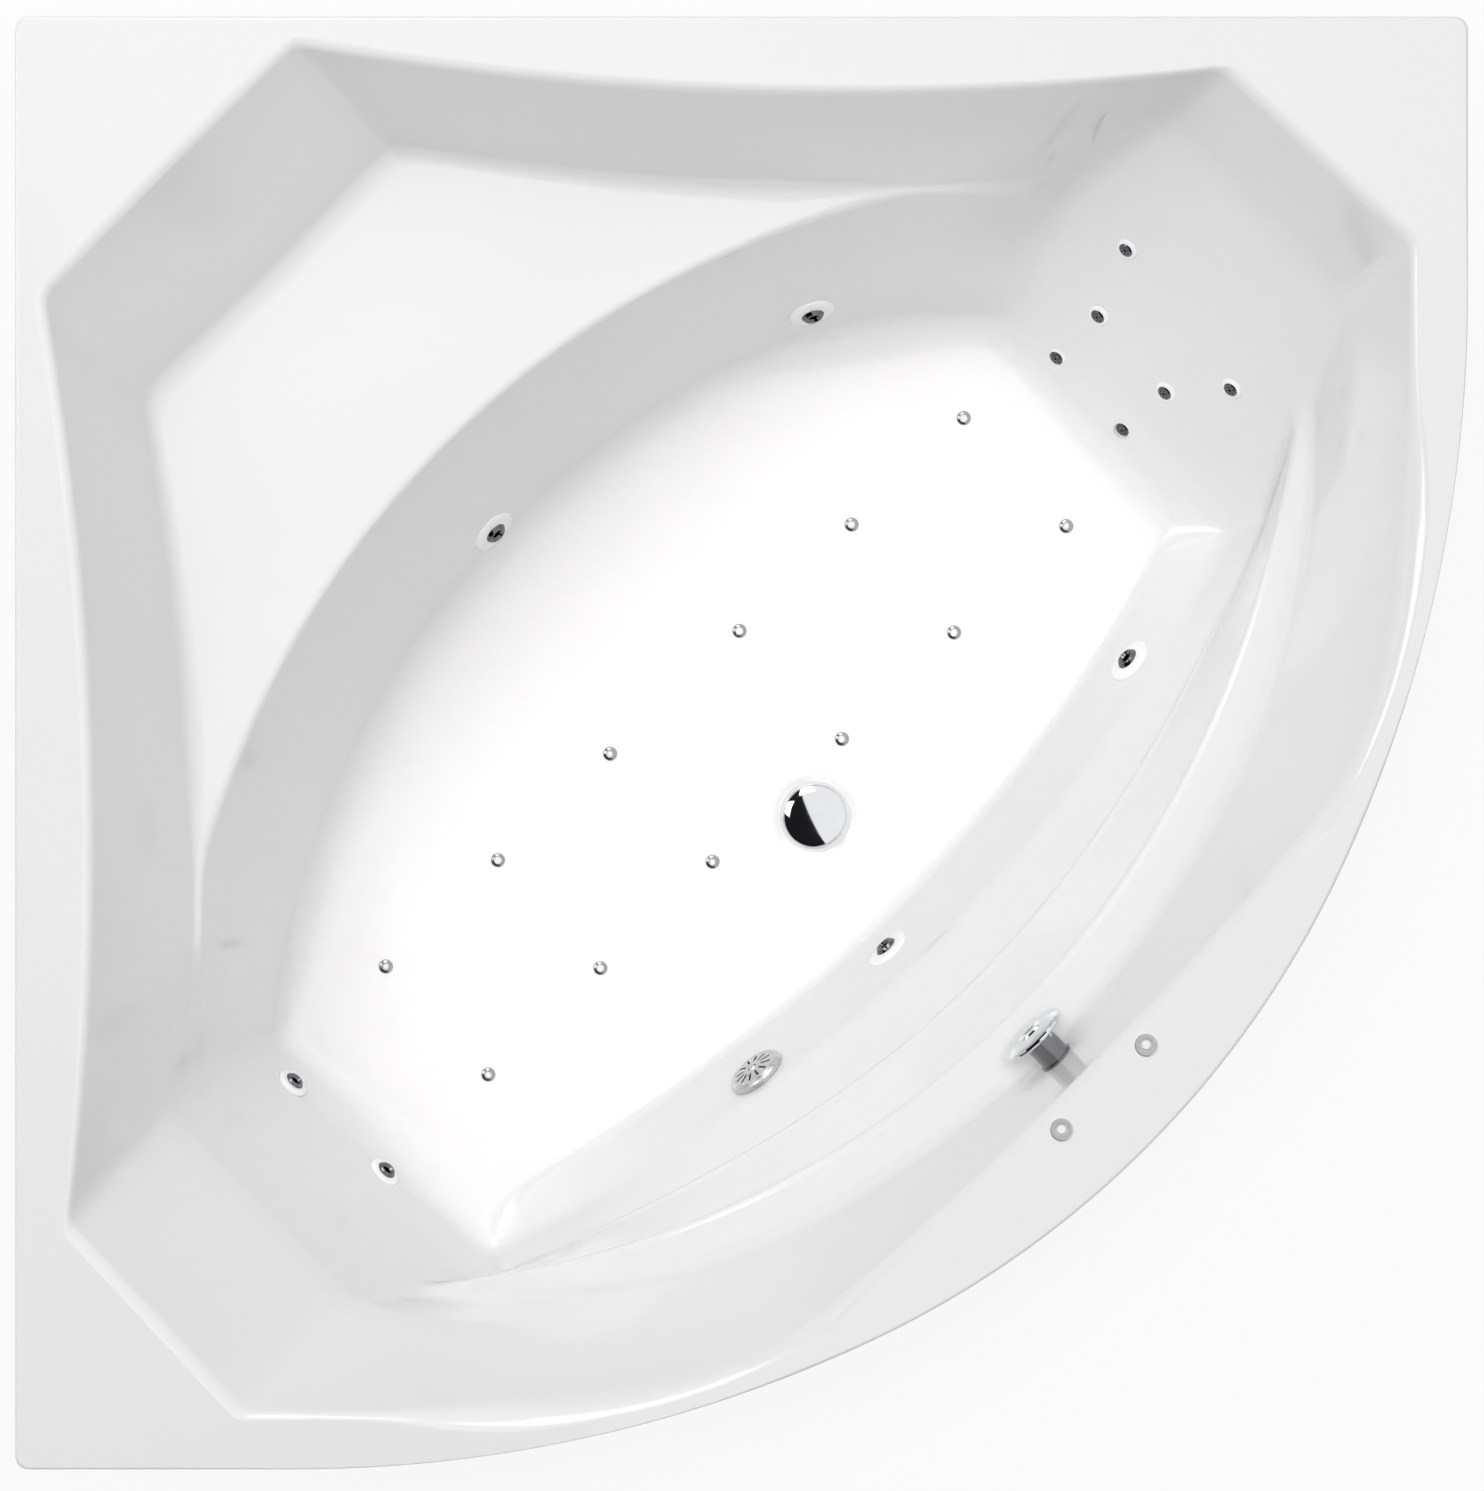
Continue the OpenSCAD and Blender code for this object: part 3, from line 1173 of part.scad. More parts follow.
module pump_motor() {
    color("slategray") uv() along_v(pump_u, pump_v, pump_z) difference() {
        union() {
            disc(66, 80, 250);
            disc(62, 249, 270);
            for (a = [0:15:345]) if (a < 60 || a > 120) rotate([0, 0, a])
                translate([64, -1.5, 95]) cube([6, 3, 140]);
            for (z = [110, 200]) translate([-55, 30, z]) cube([110, pump_z - upper_z - 46, 20]);
            translate([-32, -95, 140]) cube([64, 35, 60]);
        }
        difference() {
            disc(58, 84, 262);
            difference() {
                disc(59, 125, 215);
                disc(31, 124, 216);
            }
        }
        disc(pump_shaft_r + run_fit, 79, 266);
        translate([-29, -92, 143]) cube([58, 24, 54]);
        translate([-40, -80, 170]) rotate([0, 90, 0]) disc(5, 0, 20);
    }
}
module pump_rotor() {
    color("silver") uv() along_v(pump_u, pump_v, pump_z) {
        disc(pump_shaft_r, 22, 264);
        disc(54, 20, 24);
        for (a = [0:60:300]) rotate([0, 0, a])
            translate([10, -1.5, 23]) rotate([0, 0, 20]) cube([40, 3, 20]);
        disc(14, 23, 44);
        disc(30, 130, 210);
    }
}

// Blower on the equipment board
module blower_casing() {
    color("dimgray") uv() difference() {
        union() {
            translate([blower_u, blower_v, upper_z + 16]) disc(75, 0, 80);
            translate([blower_u, blower_v, upper_z + 16]) disc(45, 79, 135);
            translate([blower_u + 55, blower_v, blower_z]) rotate([-90, 0, 0]) disc(main_r + 4, 30, 110);
        }
        translate([blower_u, blower_v, upper_z + 16]) {
            disc(68, 6, 72);
            disc(40, 80, 130);
            disc(4 + run_fit, 60, 132);
            for (a = [0:45:315]) rotate([0, 0, a]) translate([57, 0, 0]) disc(6, 60, 90);
        }
        translate([blower_u + 55, blower_v, blower_z]) rotate([-90, 0, 0]) {
            disc(main_r - 3, 0, 100);
            disc(main_r + 0.1, 91, 111);
        }
    }
}
module blower_rotor() {
    color("silver") uv() translate([blower_u, blower_v, upper_z + 16]) {
        disc(4, 10, 131);
        disc(62, 12, 14);
        disc(12, 13, 40);
        for (a = [0:30:330]) rotate([0, 0, a]) translate([38, -1, 13]) cube([22, 2, 40]);
        disc(30, 90, 122);
    }
}

// Rim buttons
module button_rings() {
    color("silver") uv() for (p = buttons) translate([p[0], p[1], rim_h]) difference() {
        union() {
            rotate_extrude($fn = 48) polygon([[0, 0], [button_r, 0], [button_r, 1], [button_r - 1.2, 2.4],
                                              [cap_r + 3, 2.4], [0, 2.4]]);
            disc(9, -shell_t - 30, 0.5);
        }
        disc(cap_r + 2.5, -shell_t - 31, 3);
    }
}
module button_cap(i) {
    color("white") uv() translate([buttons[i][0], buttons[i][1], rim_h]) {
        rotate_extrude($fn = 48) polygon([[0, -8], [cap_r, -8], [cap_r, cap_stroke - 1],
                                          [cap_r - 0.8, cap_stroke - 0.2], [0, cap_stroke]]);
        disc(cap_r + 2.5 - run_fit, -24, -7.5);
    }
}
module button_cap_water() { button_cap(0); }
module button_cap_air() { button_cap(1); }
module button_bodies() {
    color("dimgray") uv() for (p = buttons) translate([p[0], p[1], rim_out]) {
        difference() {
            union() {
                disc(14, -10, 0);
                disc(12, -60, -9);
                disc(3, -72, -59);
            }
            disc(9.1, -30, 1);
            disc(9, -55, -29.5);
            disc(1.5, -73, -50);
        }
    }
}
module button_tubes() {
    color("lightgray") uv() {
        run([[buttons[0][0], buttons[0][1], rim_out - 72], [buttons[0][0], buttons[0][1], 30],
              [-830, tube_v_at, 30], [-830, tube_v_at, upper_z]], 30, 3, 0.3);
        run([[buttons[1][0], buttons[1][1], rim_out - 72], [buttons[1][0], buttons[1][1], 30],
              [440, -tube_v_at, 30], [-830, -tube_v_at, 30], [-830, -tube_v_at, upper_z]], 30, 3, 0.3);
    }
}
tube_v_at = 75;
gland_at = 40;
module control_box() {
    color("gray") uv() translate([-905, -90, upper_z]) difference() {
        union() {
            cube([160, 180, 70]);
            translate([-2, -2, 64]) cube([164, 184, 8]);
            translate([1, gland_at, 40]) rotate([0, -90, 0]) disc(8, 0, 16);
        }
        translate([3, 3, 3]) cube([154, 174, 62]);
        translate([1, gland_at, 40]) rotate([0, -90, 0]) disc(4, -5, 17);
        for (v = [90 - tube_v_at, 90 + tube_v_at]) translate([75, v, -1])
            cylinder(r = 1.5, h = 10, $fn = 24);
    }
}

shell();
floor_board();
frame();
rim_blocks();
rim_brackets();
frame_screws();
foot_rods();
foot_nuts();
foot_pads();
drain_flange();
drain_gasket();
drain_body();
drain_plug();
plug_seal();
trap();
trap_nut();
overflow_neck();
overflow_screw();
overflow_knob();
overflow_gasket();
overflow_body();
overflow_pipe();
bowden_cable();
side_jet_faces();
side_jet_bodies();
foot_jet_faces();
foot_jet_bodies();
jet_gaskets();
jet_nozzle_1();
jet_nozzle_2();
jet_nozzle_3();
jet_nozzle_4();
jet_nozzle_5();
jet_nozzle_6();
micro_jet_faces();
micro_jet_caps();
micro_jet_bodies();
water_chambers();
air_nozzle_caps();
air_nozzle_pins();
air_nozzle_bodies();
air_pipework();
suction_cover();
suction_screw();
suction_fitting();
suction_nut();
suction_pipe();
water_pipework();
equipment_board();
pump_motor();
pump_wet_end();
pump_rotor();
blower_casing();
blower_rotor();
button_rings();
button_cap_water();
button_cap_air();
button_bodies();
button_tubes();
control_box();
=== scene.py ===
import json
import math

import bmesh
import bpy
import numpy as np
from mathutils import Euler, Matrix, Vector
from mathutils.bvhtree import BVHTree

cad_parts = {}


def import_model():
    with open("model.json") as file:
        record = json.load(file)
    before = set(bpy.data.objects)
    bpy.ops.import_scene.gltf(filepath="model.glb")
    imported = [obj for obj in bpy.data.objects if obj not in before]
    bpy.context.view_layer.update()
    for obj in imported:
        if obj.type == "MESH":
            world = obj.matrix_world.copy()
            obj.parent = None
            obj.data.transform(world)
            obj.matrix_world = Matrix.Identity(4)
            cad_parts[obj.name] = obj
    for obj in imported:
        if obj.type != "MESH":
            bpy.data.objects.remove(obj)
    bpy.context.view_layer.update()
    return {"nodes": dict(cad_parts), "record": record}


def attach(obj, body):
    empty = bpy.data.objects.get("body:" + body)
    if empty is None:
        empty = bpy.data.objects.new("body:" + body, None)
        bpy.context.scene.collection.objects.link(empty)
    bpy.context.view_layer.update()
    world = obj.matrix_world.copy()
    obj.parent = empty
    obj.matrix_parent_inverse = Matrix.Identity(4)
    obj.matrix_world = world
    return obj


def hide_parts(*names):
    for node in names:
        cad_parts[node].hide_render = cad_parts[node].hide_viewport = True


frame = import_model()
nodes = frame["nodes"]
scene = bpy.context.scene

# Sizes of the tub in millimetres, the same as in the CAD source. Tub coordinates are u, from the wall corner to the
# front, v, from the foot end to the head end, and z, up from the rim.
SIDE, RIM_H, BASIN_D, SHELL_T, LIP_H = 1500.0, 600.0, 450.0, 5.0, 40.0
# Outline: straight part beyond the walls, shoulder radius and angle, corner radius, radius of the rim's edge
STRAIGHT_L, SHOULDER_R, SHOULDER_A, CORNER_R, EDGE_R = 290.0, 1400.0, 25.0, 14.0, 4.0
# Inner edge of the rim: its gap to the front, to the two ends and to the wall corner
RIM_FRONT, END_GAP, SEAT_GAP, SEAT_HALF, SIDE_BOW, LIP_ROUND = 100.0, 212.0, 218.0, 182.0, 36.0, 10.0
SEAT_D, SEAT_RUN, SEAT_W, SEAT_R, SEAT_WALL_RUN = 175.0, 158.0, 248.0, 965.0, 120.0
DRAIN_U, DISH_R, DISH_Z = 109.0, 46.0, 3.0
RT2 = math.sqrt(2)
HALF_DIAG = SIDE / RT2


# ---------------------------------------------------------------- camera and room
def new_material(name):
    mat = bpy.data.materials.new(name)
    mat.use_nodes = True
    nt = mat.node_tree
    nt.nodes.clear()
    return mat, nt


# The photograph looks straight down. The rim's plane fills the picture's height at this scale.
CAM_H, SENSOR, PICTURE_H = 30.0, 36.0, 1491
MM_PER_PX = 1.0323
OFF_CENTRE_PX = (0.5, -2.5)
cam_data = bpy.data.cameras.new("camera")
cam = bpy.data.objects.new("camera", cam_data)
scene.collection.objects.link(cam)
cam_data.sensor_fit = "AUTO"
cam_data.sensor_width = SENSOR
cam_data.lens = SENSOR * (CAM_H - RIM_H / 1000) / (PICTURE_H * MM_PER_PX / 1000)
cam.location = (OFF_CENTRE_PX[0] * MM_PER_PX / 1000, OFF_CENTRE_PX[1] * MM_PER_PX / 1000, CAM_H)
cam.rotation_euler = (0, 0, 0)
cam_data.clip_start, cam_data.clip_end = 0.1, 200.0
scene.camera = cam

scene.view_settings.view_transform = "Standard"


# ---------------------------------------------------------------- the tub's skin
def mix(a, b, w):
    return a + (b - a) * w


def sag(v, r):
    """How far a circle of radius r falls back at v from its middle."""
    return r - math.sqrt(r * r - v * v)


def ease(w):
    return w * w * (3 - 2 * w)


def vec(*p):
    return np.array(p, float)


def turn2(deg):
    """The unit vector at an angle in plan."""
    return vec(math.cos(math.radians(deg)), math.sin(math.radians(deg)))


# Circles of the outline and the main lines of the basin, all worked out from the sizes
shoulder_c = vec(SIDE / 2 - SHOULDER_R, SIDE / 2 - STRAIGHT_L)
ca, sa = math.cos(math.radians(SHOULDER_A)), math.sin(math.radians(SHOULDER_A))
nose_shift = -(shoulder_c[0] + shoulder_c[1]) / (ca - sa)
nose_r = SHOULDER_R - nose_shift
nose_c = shoulder_c + nose_shift * vec(ca, -sa)
nose_u = nose_c[0] * RT2 + nose_r
seat_back_u = -HALF_DIAG + SEAT_GAP
seat_foot_u = seat_back_u + SEAT_RUN
seat_edge_u = seat_foot_u + SEAT_W
seat_c = seat_edge_u + SEAT_R
fold_r = SEAT_R - SEAT_WALL_RUN
end_v = HALF_DIAG - END_GAP
front_u = nose_u - RIM_FRONT
# Lines down the front wall, from the rim to the floor: run from the rim, height and radius in plan
FOOT_RUN, FOOT_Z, LEDGE_RUN, LEDGE_Z, PLEAT_RUN, PLEAT_Z = 41, -165, 92, -187, 143, -228
BELLY_RUN, BELLY_Z, FLOOR_RUN = 200, -295, 254
FOOT_R, LEDGE_R, PLEAT_R, BELLY_R, FLOOR_R = 958, 960, 1050, 1450, 1450
# Head end and foot end: the corner at the seat's side and the corner at the front, seven rows each from the rim to the
# floor, as u and the run from the rim, then the run and height of the crease and the run of the floor's edge
ENDS = [
    ([[-140, 4], [-147, 83], [-157, 170], [-159, 197], [-144, 258], [-118, 308], [-115, 348]],
     [[126, -6], [121, 83], [172, 177], [165, 195], [222, 290], [205, 330], [156, 368]], 83, -144, 345),
    ([[-140, 4], [-150, 150], [-157, 190], [-157, 212], [-146, 240], [-130, 262], [-120, 285]],
     [[126, -6], [118, 150], [160, 192], [160, 210], [205, 252], [196, 285], [160, 325]], 150, -160, 282),
]


def end_z(run, crease, crease_z, fold):
    """Height on an end wall, which has one slope above its crease and another below."""
    if run <= crease:
        return crease_z * max(run, 0) / crease
    return max(-BASIN_D, crease_z + (run - crease) / (fold - crease) * (-BASIN_D - crease_z))


def corner_line(rows, crease, crease_z, fold):
    return [vec(u, end_v - run, 0 if i == 0 else end_z(run, crease, crease_z, fold)) for i, (u, run) in enumerate(rows)]


back_lines = [corner_line(e[0], *e[2:]) for e in ENDS]
side_lines = [corner_line(e[1], *e[2:]) for e in ENDS]


def bowed(a, b, h, s):
    """A point from a to b on a line that bows out by h."""
    d = b - a
    return mix(a, b, s) + 4 * h * s * (1 - s) * vec(d[1], -d[0]) / np.linalg.norm(d)


def add3(p, z):
    return vec(p[0], p[1], z)


SEAT_V, FOLD_V, TIP_S, TIP_GAP = 165.0, 145.0, 0.8, 8.0


# A station is one cut across the tub, seven rows from the rim to the edge of the floor. `s` runs from 0 to 1 along its
# stretch of the rim, and `e` is 0 for the head end and 1 for the foot end.
def seat_station(s):
    rim = vec(seat_back_u + 3 * s, SEAT_HALF * s, 0)
    foot = vec(seat_foot_u - 4 * s, (SEAT_HALF + 3) * s, -SEAT_D)
    edge = vec(seat_c - math.sqrt(SEAT_R**2 - (SEAT_V * s) ** 2), SEAT_V * s, -SEAT_D - 3)
    fold = vec(seat_c - math.sqrt(fold_r**2 - (FOLD_V * s) ** 2), FOLD_V * s, -BASIN_D)
    return [rim, mix(rim, foot, 0.5), foot, edge, mix(edge, fold, 1 / 3), mix(edge, fold, 2 / 3), fold]


def foot_end(e):
    """Where the seat's edge would end if it left the corner squarely."""
    k = back_lines[e]
    return k[2][:2] + np.linalg.norm(k[2][:2] - k[3][:2]) * turn2(-94)


def side_station(s, e):
    k, a = back_lines[e], seat_station(1)
    rim2 = bowed(a[0][:2], k[0][:2], SIDE_BOW, s)
    foot2 = bowed(a[2][:2], k[2][:2], 25, s)
    late = max(0, (s - TIP_S) / (1 - TIP_S))
    foot_zz = mix(-SEAT_D, k[2][2], ease(late))
    way = turn2(-4 - 90 * s * s)
    rel = foot2 - vec(seat_c, 0)
    b = rel @ way
    c = rel @ rel - SEAT_R**2
    reach = -b - math.sqrt(b * b - c) if b * b - c > 0 else 0
    gap_end = np.linalg.norm(k[2][:2] - k[3][:2])
    width = max(reach, mix(TIP_GAP, gap_end, late))
    edge_end = foot2 + width * way
    edge2 = mix(edge_end, edge_end + (k[3][:2] - foot_end(e)), late**2)
    edge_zz = foot_zz - mix(3, k[2][2] - k[3][2], late)
    fold_vv = mix(FOLD_V, k[6][1], s)
    fold_base = seat_c - math.sqrt(fold_r**2 - fold_vv**2)
    fold_last = seat_c - math.sqrt(fold_r**2 - k[6][1] ** 2)
    fold = vec(fold_base + (k[6][0] - fold_last) * s**4, fold_vv, -BASIN_D)
    rim, foot, edge = add3(rim2, 0), add3(foot2, foot_zz), add3(edge2, edge_zz)
    grow = s**5
    return [rim,
            mix(rim, foot, 0.5) + (k[1] - mix(k[0], k[2], 0.5)) * grow,
            foot,
            edge,
            mix(edge, fold, 1 / 3) + (k[4] - mix(k[3], k[6], 1 / 3)) * grow,
            mix(edge, fold, 2 / 3) + (k[5] - mix(k[3], k[6], 2 / 3)) * grow,
            fold]


def end_station(s, e):
    return [mix(back_lines[e][r], side_lines[e][r], s) for r in range(7)]


# The rim's inner edge at the front: a straight part of BEND_L, a bend that ends at BEND_V, and a nearly straight part
BEND_L, BEND_V, BEND_BACK, BEND_FROM, BEND_TO = 232.0, 344.0, 12.0, 0.25, 0.65


def front_rim(s, e):
    k = side_lines[e][0]
    p1 = k[:2] + BEND_L * vec(1, -1) / RT2
    p3 = vec(front_u - BEND_BACK, BEND_V)
    p2 = vec(p3[0], p1[1] - (p3[0] - p1[0]))
    if s < BEND_FROM:
        return mix(k[:2], p1, s / BEND_FROM)
    if s < BEND_TO:
        w = (s - BEND_FROM) / (BEND_TO - BEND_FROM)
        return (1 - w) ** 2 * p1 + 2 * w * (1 - w) * p2 + w * w * p3
    w = (s - BEND_TO) / (1 - BEND_TO)
    return vec(mix(p3[0], front_u, 1 - (1 - w) ** 2), mix(p3[1], 0, w))


def front_line(g, power, k, run, r, z):
    """A point on one line of the front wall, from its arc at the middle, g = 0, to the corner point k, g = 1."""
    v = k[1] * max(g, 0) ** power
    miss = k[0] - (front_u - run - sag(k[1], r))
    return vec(front_u - run - sag(v, r) + miss * g**4, v, mix(z, k[2], g**2))


def front_station(s, e):
    k = side_lines[e]
    rim2 = front_rim(s, e)
    g = rim2[1] / k[0][1]
    rim = add3(rim2, 0)
    foot = front_line(g, 0.85, k[2], FOOT_RUN, FOOT_R, FOOT_Z)
    ledge = front_line(g, 0.85, k[3], LEDGE_RUN, LEDGE_R, LEDGE_Z)
    pleat = front_line(g, 0.9, k[4], PLEAT_RUN, PLEAT_R, PLEAT_Z)
    belly = front_line(g, 0.95, k[5], BELLY_RUN, BELLY_R, BELLY_Z)
    fold = front_line(g, 1, k[6], FLOOR_RUN, FLOOR_R, -BASIN_D)
    upper = mix(rim, foot, 0.5) + (k[1] - mix(k[0], k[2], 0.5)) * g**6
    return [rim, upper, foot, ledge, pleat, belly, fold]


corner_off = 0.6 * STRAIGHT_L / RT2
side_corner_a = vec(-corner_off, HALF_DIAG - corner_off)
side_corner_b = vec(corner_off, HALF_DIAG - corner_off)


def side_edge(w):
    """Round the wall corner, then along the straight wall side."""
    w1 = FINE / (STRETCH[0] + STRETCH[1])
    c = vec(-HALF_DIAG + CORNER_R * RT2, 0)
    arc = c + CORNER_R * turn2(180 - 45 * min(1, w / w1))
    line = mix(vec(-HALF_DIAG, 0), side_corner_a, max(w, 2 * w1))
    return mix(arc, line, min(1, max(0, w / w1 - 1)))


def corner_edge(w):
    """The end of one wall side, round the outer corner, and back along the straight part."""
    c = vec(0, HALF_DIAG - CORNER_R * RT2)
    a, b = c + CORNER_R * vec(-1, 1) / RT2, c + CORNER_R * vec(1, 1) / RT2
    if w < 0.42:
        return mix(side_corner_a, a, w / 0.42)
    if w < 0.58:
        return c + CORNER_R * turn2(135 - 90 * (w - 0.42) / 0.16)
    return mix(b, side_corner_b, (w - 0.58) / 0.42)


def front_edge(w):
    """The straight part, the shoulder's arc and the nose's arc."""
    s_c = vec((shoulder_c[0] - shoulder_c[1]) / RT2, (shoulder_c[0] + shoulder_c[1]) / RT2)
    start = s_c + SHOULDER_R * vec(1, 1) / RT2
    if w < 0.2:
        return mix(side_corner_b, start, w / 0.2)
    if w < 0.65:
        return s_c + SHOULDER_R * turn2(45 - SHOULDER_A * (w - 0.2) / 0.45)
    return vec(nose_c[0] * RT2, 0) + nose_r * turn2((45 - SHOULDER_A) * (1 - (w - 0.65) / 0.35))


N_COARSE = (4, 14, 7, 18)  # stations of the seat, the side, the end and the front of one half
FINE = 5
STRETCH = [n * FINE for n in N_COARSE]
SOFT_LIP = 50  # how much softer the lip is where the front wall bends


def bends(stretch, w):
    """Rounding of each row: how far it takes from the lines above and below, in millimetres."""
    if stretch < 2:
        return [EDGE_R, LIP_ROUND, 40, 18, 8, 30, 30, 80]
    if stretch == 2:
        return [EDGE_R, LIP_ROUND, 25, 20, 20, 20, 20, 24]
    soft = SOFT_LIP * math.sin(math.pi * min(1, max(0, (w - 0.1) / 0.6))) ** 2
    return [EDGE_R, LIP_ROUND + soft, 30, 16, 7, 7, 16, 12]


def half_tub(e):
    """Rings, outline point and rounding lengths of each station from the seat's middle to the front's middle."""
    rows = []
    n0, n1, n2, n3 = STRETCH
    for i in range(n0):
        rows.append((seat_station(i / n0), side_edge(i / (n0 + n1)), bends(0, 0)))
    for i in range(n1):
        rows.append((side_station(i / n1, e), side_edge((n0 + i) / (n0 + n1)), bends(1, 0)))
    for i in range(n2):
        rows.append((end_station(i / n2, e), corner_edge(i / n2), bends(2, 0)))
    for i in range(n3 + 1):
        rows.append((front_station(i / n3, e), front_edge(i / n3), bends(3, i / n3)))
    return rows


head, foot = half_tub(0), half_tub(1)
mirror = vec(1, -1, 1)
tub = list(head)
for i in range(len(head) - 2, 0, -1):
    rings, edge, c = foot[i]
    tub.append(([p * mirror for p in rings], edge * mirror[:2], c))
N = len(tub)
RINGS = np.array([t[0] for t in tub])  # station, ring, xyz
EDGE = np.array([t[1] for t in tub])
CUTS = np.array([t[2] for t in tub], float)


def smooth_along(a, passes):
    """Rounds the turns between stretches, with the middle lines of the tub kept."""
    for _ in range(passes):
        a = 0.5 * a + 0.25 * (np.roll(a, 1, 0) + np.roll(a, -1, 0))
    return a


for r, passes in enumerate((1, 4, 6, 6, 8, 8, 8)):
    RINGS[:, r] = smooth_along(RINGS[:, r], passes if FINE == 5 else 1)
CUTS = smooth_along(CUTS, 6 * FINE)
ARC = 9  # points round each bend of the profile
BEAD = {5: 2.0, 6: 2.0}  # height of the fine bead, by the row of the ledge and of the pleat, in millimetres
HOLE_R, DISH_SIDE = 25.5, 9.0  # bore at the drain, and the run of the dish's side


def crease_heights():
    """Height of the fine bead along the ledge and the pleat of the front wall, station by station."""
    n0, n1, n2, n3 = STRETCH
    half = np.zeros(n0 + n1 + n2 + n3 + 1)
    w = np.arange(n3 + 1) / n3
    half[n0 + n1 + n2:] = ease(np.clip((w - 0.14) / 0.2, 0, 1))
    return np.concatenate([half, half[-2:0:-1]])[:, None]


def profile_rows():
    """Skin points and the tangents down the wall, from the turned-down edge to the drain, station by station."""
    d = vec(DRAIN_U, 0)
    out = RINGS[:, 6, :2] - d
    out /= np.linalg.norm(out, axis=1)[:, None]
    z0 = np.zeros((N, 1))
    ctrl = [np.hstack([EDGE, z0 - LIP_H]), np.hstack([EDGE, z0])]
    ctrl += [RINGS[:, r] for r in range(7)]
    ctrl += [np.hstack([d + DISH_R * out, z0 - BASIN_D])]
    pts, tan = [ctrl[0]], [ctrl[1] - ctrl[0]]
    for k in range(1, 9):
        a, p, b = ctrl[k - 1], ctrl[k], ctrl[k + 1]
        la = np.linalg.norm(a - p, axis=1)
        lb = np.linalg.norm(b - p, axis=1)
        c = np.minimum(np.minimum(CUTS[:, k - 1], 0.45 * la), 0.45 * lb)[:, None]
        p0, p1 = p + (a - p) / la[:, None] * c, p + (b - p) / lb[:, None] * c
        bead = BEAD.get(k, 0) * crease_heights()
        run = np.linalg.norm((b - a)[:, :2], axis=1)[:, None]
        proud = np.hstack([(b - a)[:, :2] / run * (a - b)[:, 2:], run])
        proud /= np.linalg.norm(proud, axis=1)[:, None]
        for j in range(ARC):
            w = j / (ARC - 1)
            bend = (1 - w) ** 2 * p0 + 2 * w * (1 - w) * p + w * w * p1
            pts.append(bend + bead * math.sin(math.pi * w) ** 2 * proud)
            tan.append((1 - w) * (p - p0) + w * (p1 - p) + bead * math.pi / 2 * math.sin(2 * math.pi * w) * proud)
    for w in (0.25, 0.5, 0.75):
        pts.append(mix(p1, b, w))
        tan.append(b - p1)
    flat_in = np.hstack([-out, z0])
    pts.append(ctrl[9])
    tan.append(flat_in)
    for j in range(1, 6):
        w = j / 5
        pts.append(np.hstack([d + (DISH_R - DISH_SIDE * w) * out, z0 - BASIN_D - DISH_Z * ease(w)]))
        tan.append(flat_in * DISH_SIDE + vec(0, 0, -DISH_Z * 6 * w * (1 - w)))
    pts.append(np.hstack([d + HOLE_R * out, z0 - BASIN_D - DISH_Z]))
    tan.append(flat_in)
    return np.array(pts).swapaxes(0, 1), np.array(tan).swapaxes(0, 1)


SKIN, DOWN = profile_rows()
ALONG = np.roll(SKIN, -1, 0) - np.roll(SKIN, 1, 0)
NORMAL = np.cross(ALONG, DOWN)
NORMAL /= np.linalg.norm(NORMAL, axis=2)[:, :, None]
ROWS = SKIN.shape[1]


def world(p):
    """Tub coordinates u, v, z below the rim, in millimetres, to the room in metres."""
    p = np.asarray(p, float)
    return np.stack([(p[..., 0] + p[..., 1]) / RT2, (p[..., 1] - p[..., 0]) / RT2, RIM_H + p[..., 2]], -1) / 1000


def turn_in(n):
    """A direction in tub coordinates, turned to the room."""
    return np.stack([(n[..., 0] + n[..., 1]) / RT2, (n[..., 1] - n[..., 0]) / RT2, n[..., 2]], -1)


def link(name, mesh):
    o = bpy.data.objects.new(name, mesh)
    scene.collection.objects.link(o)
    return o


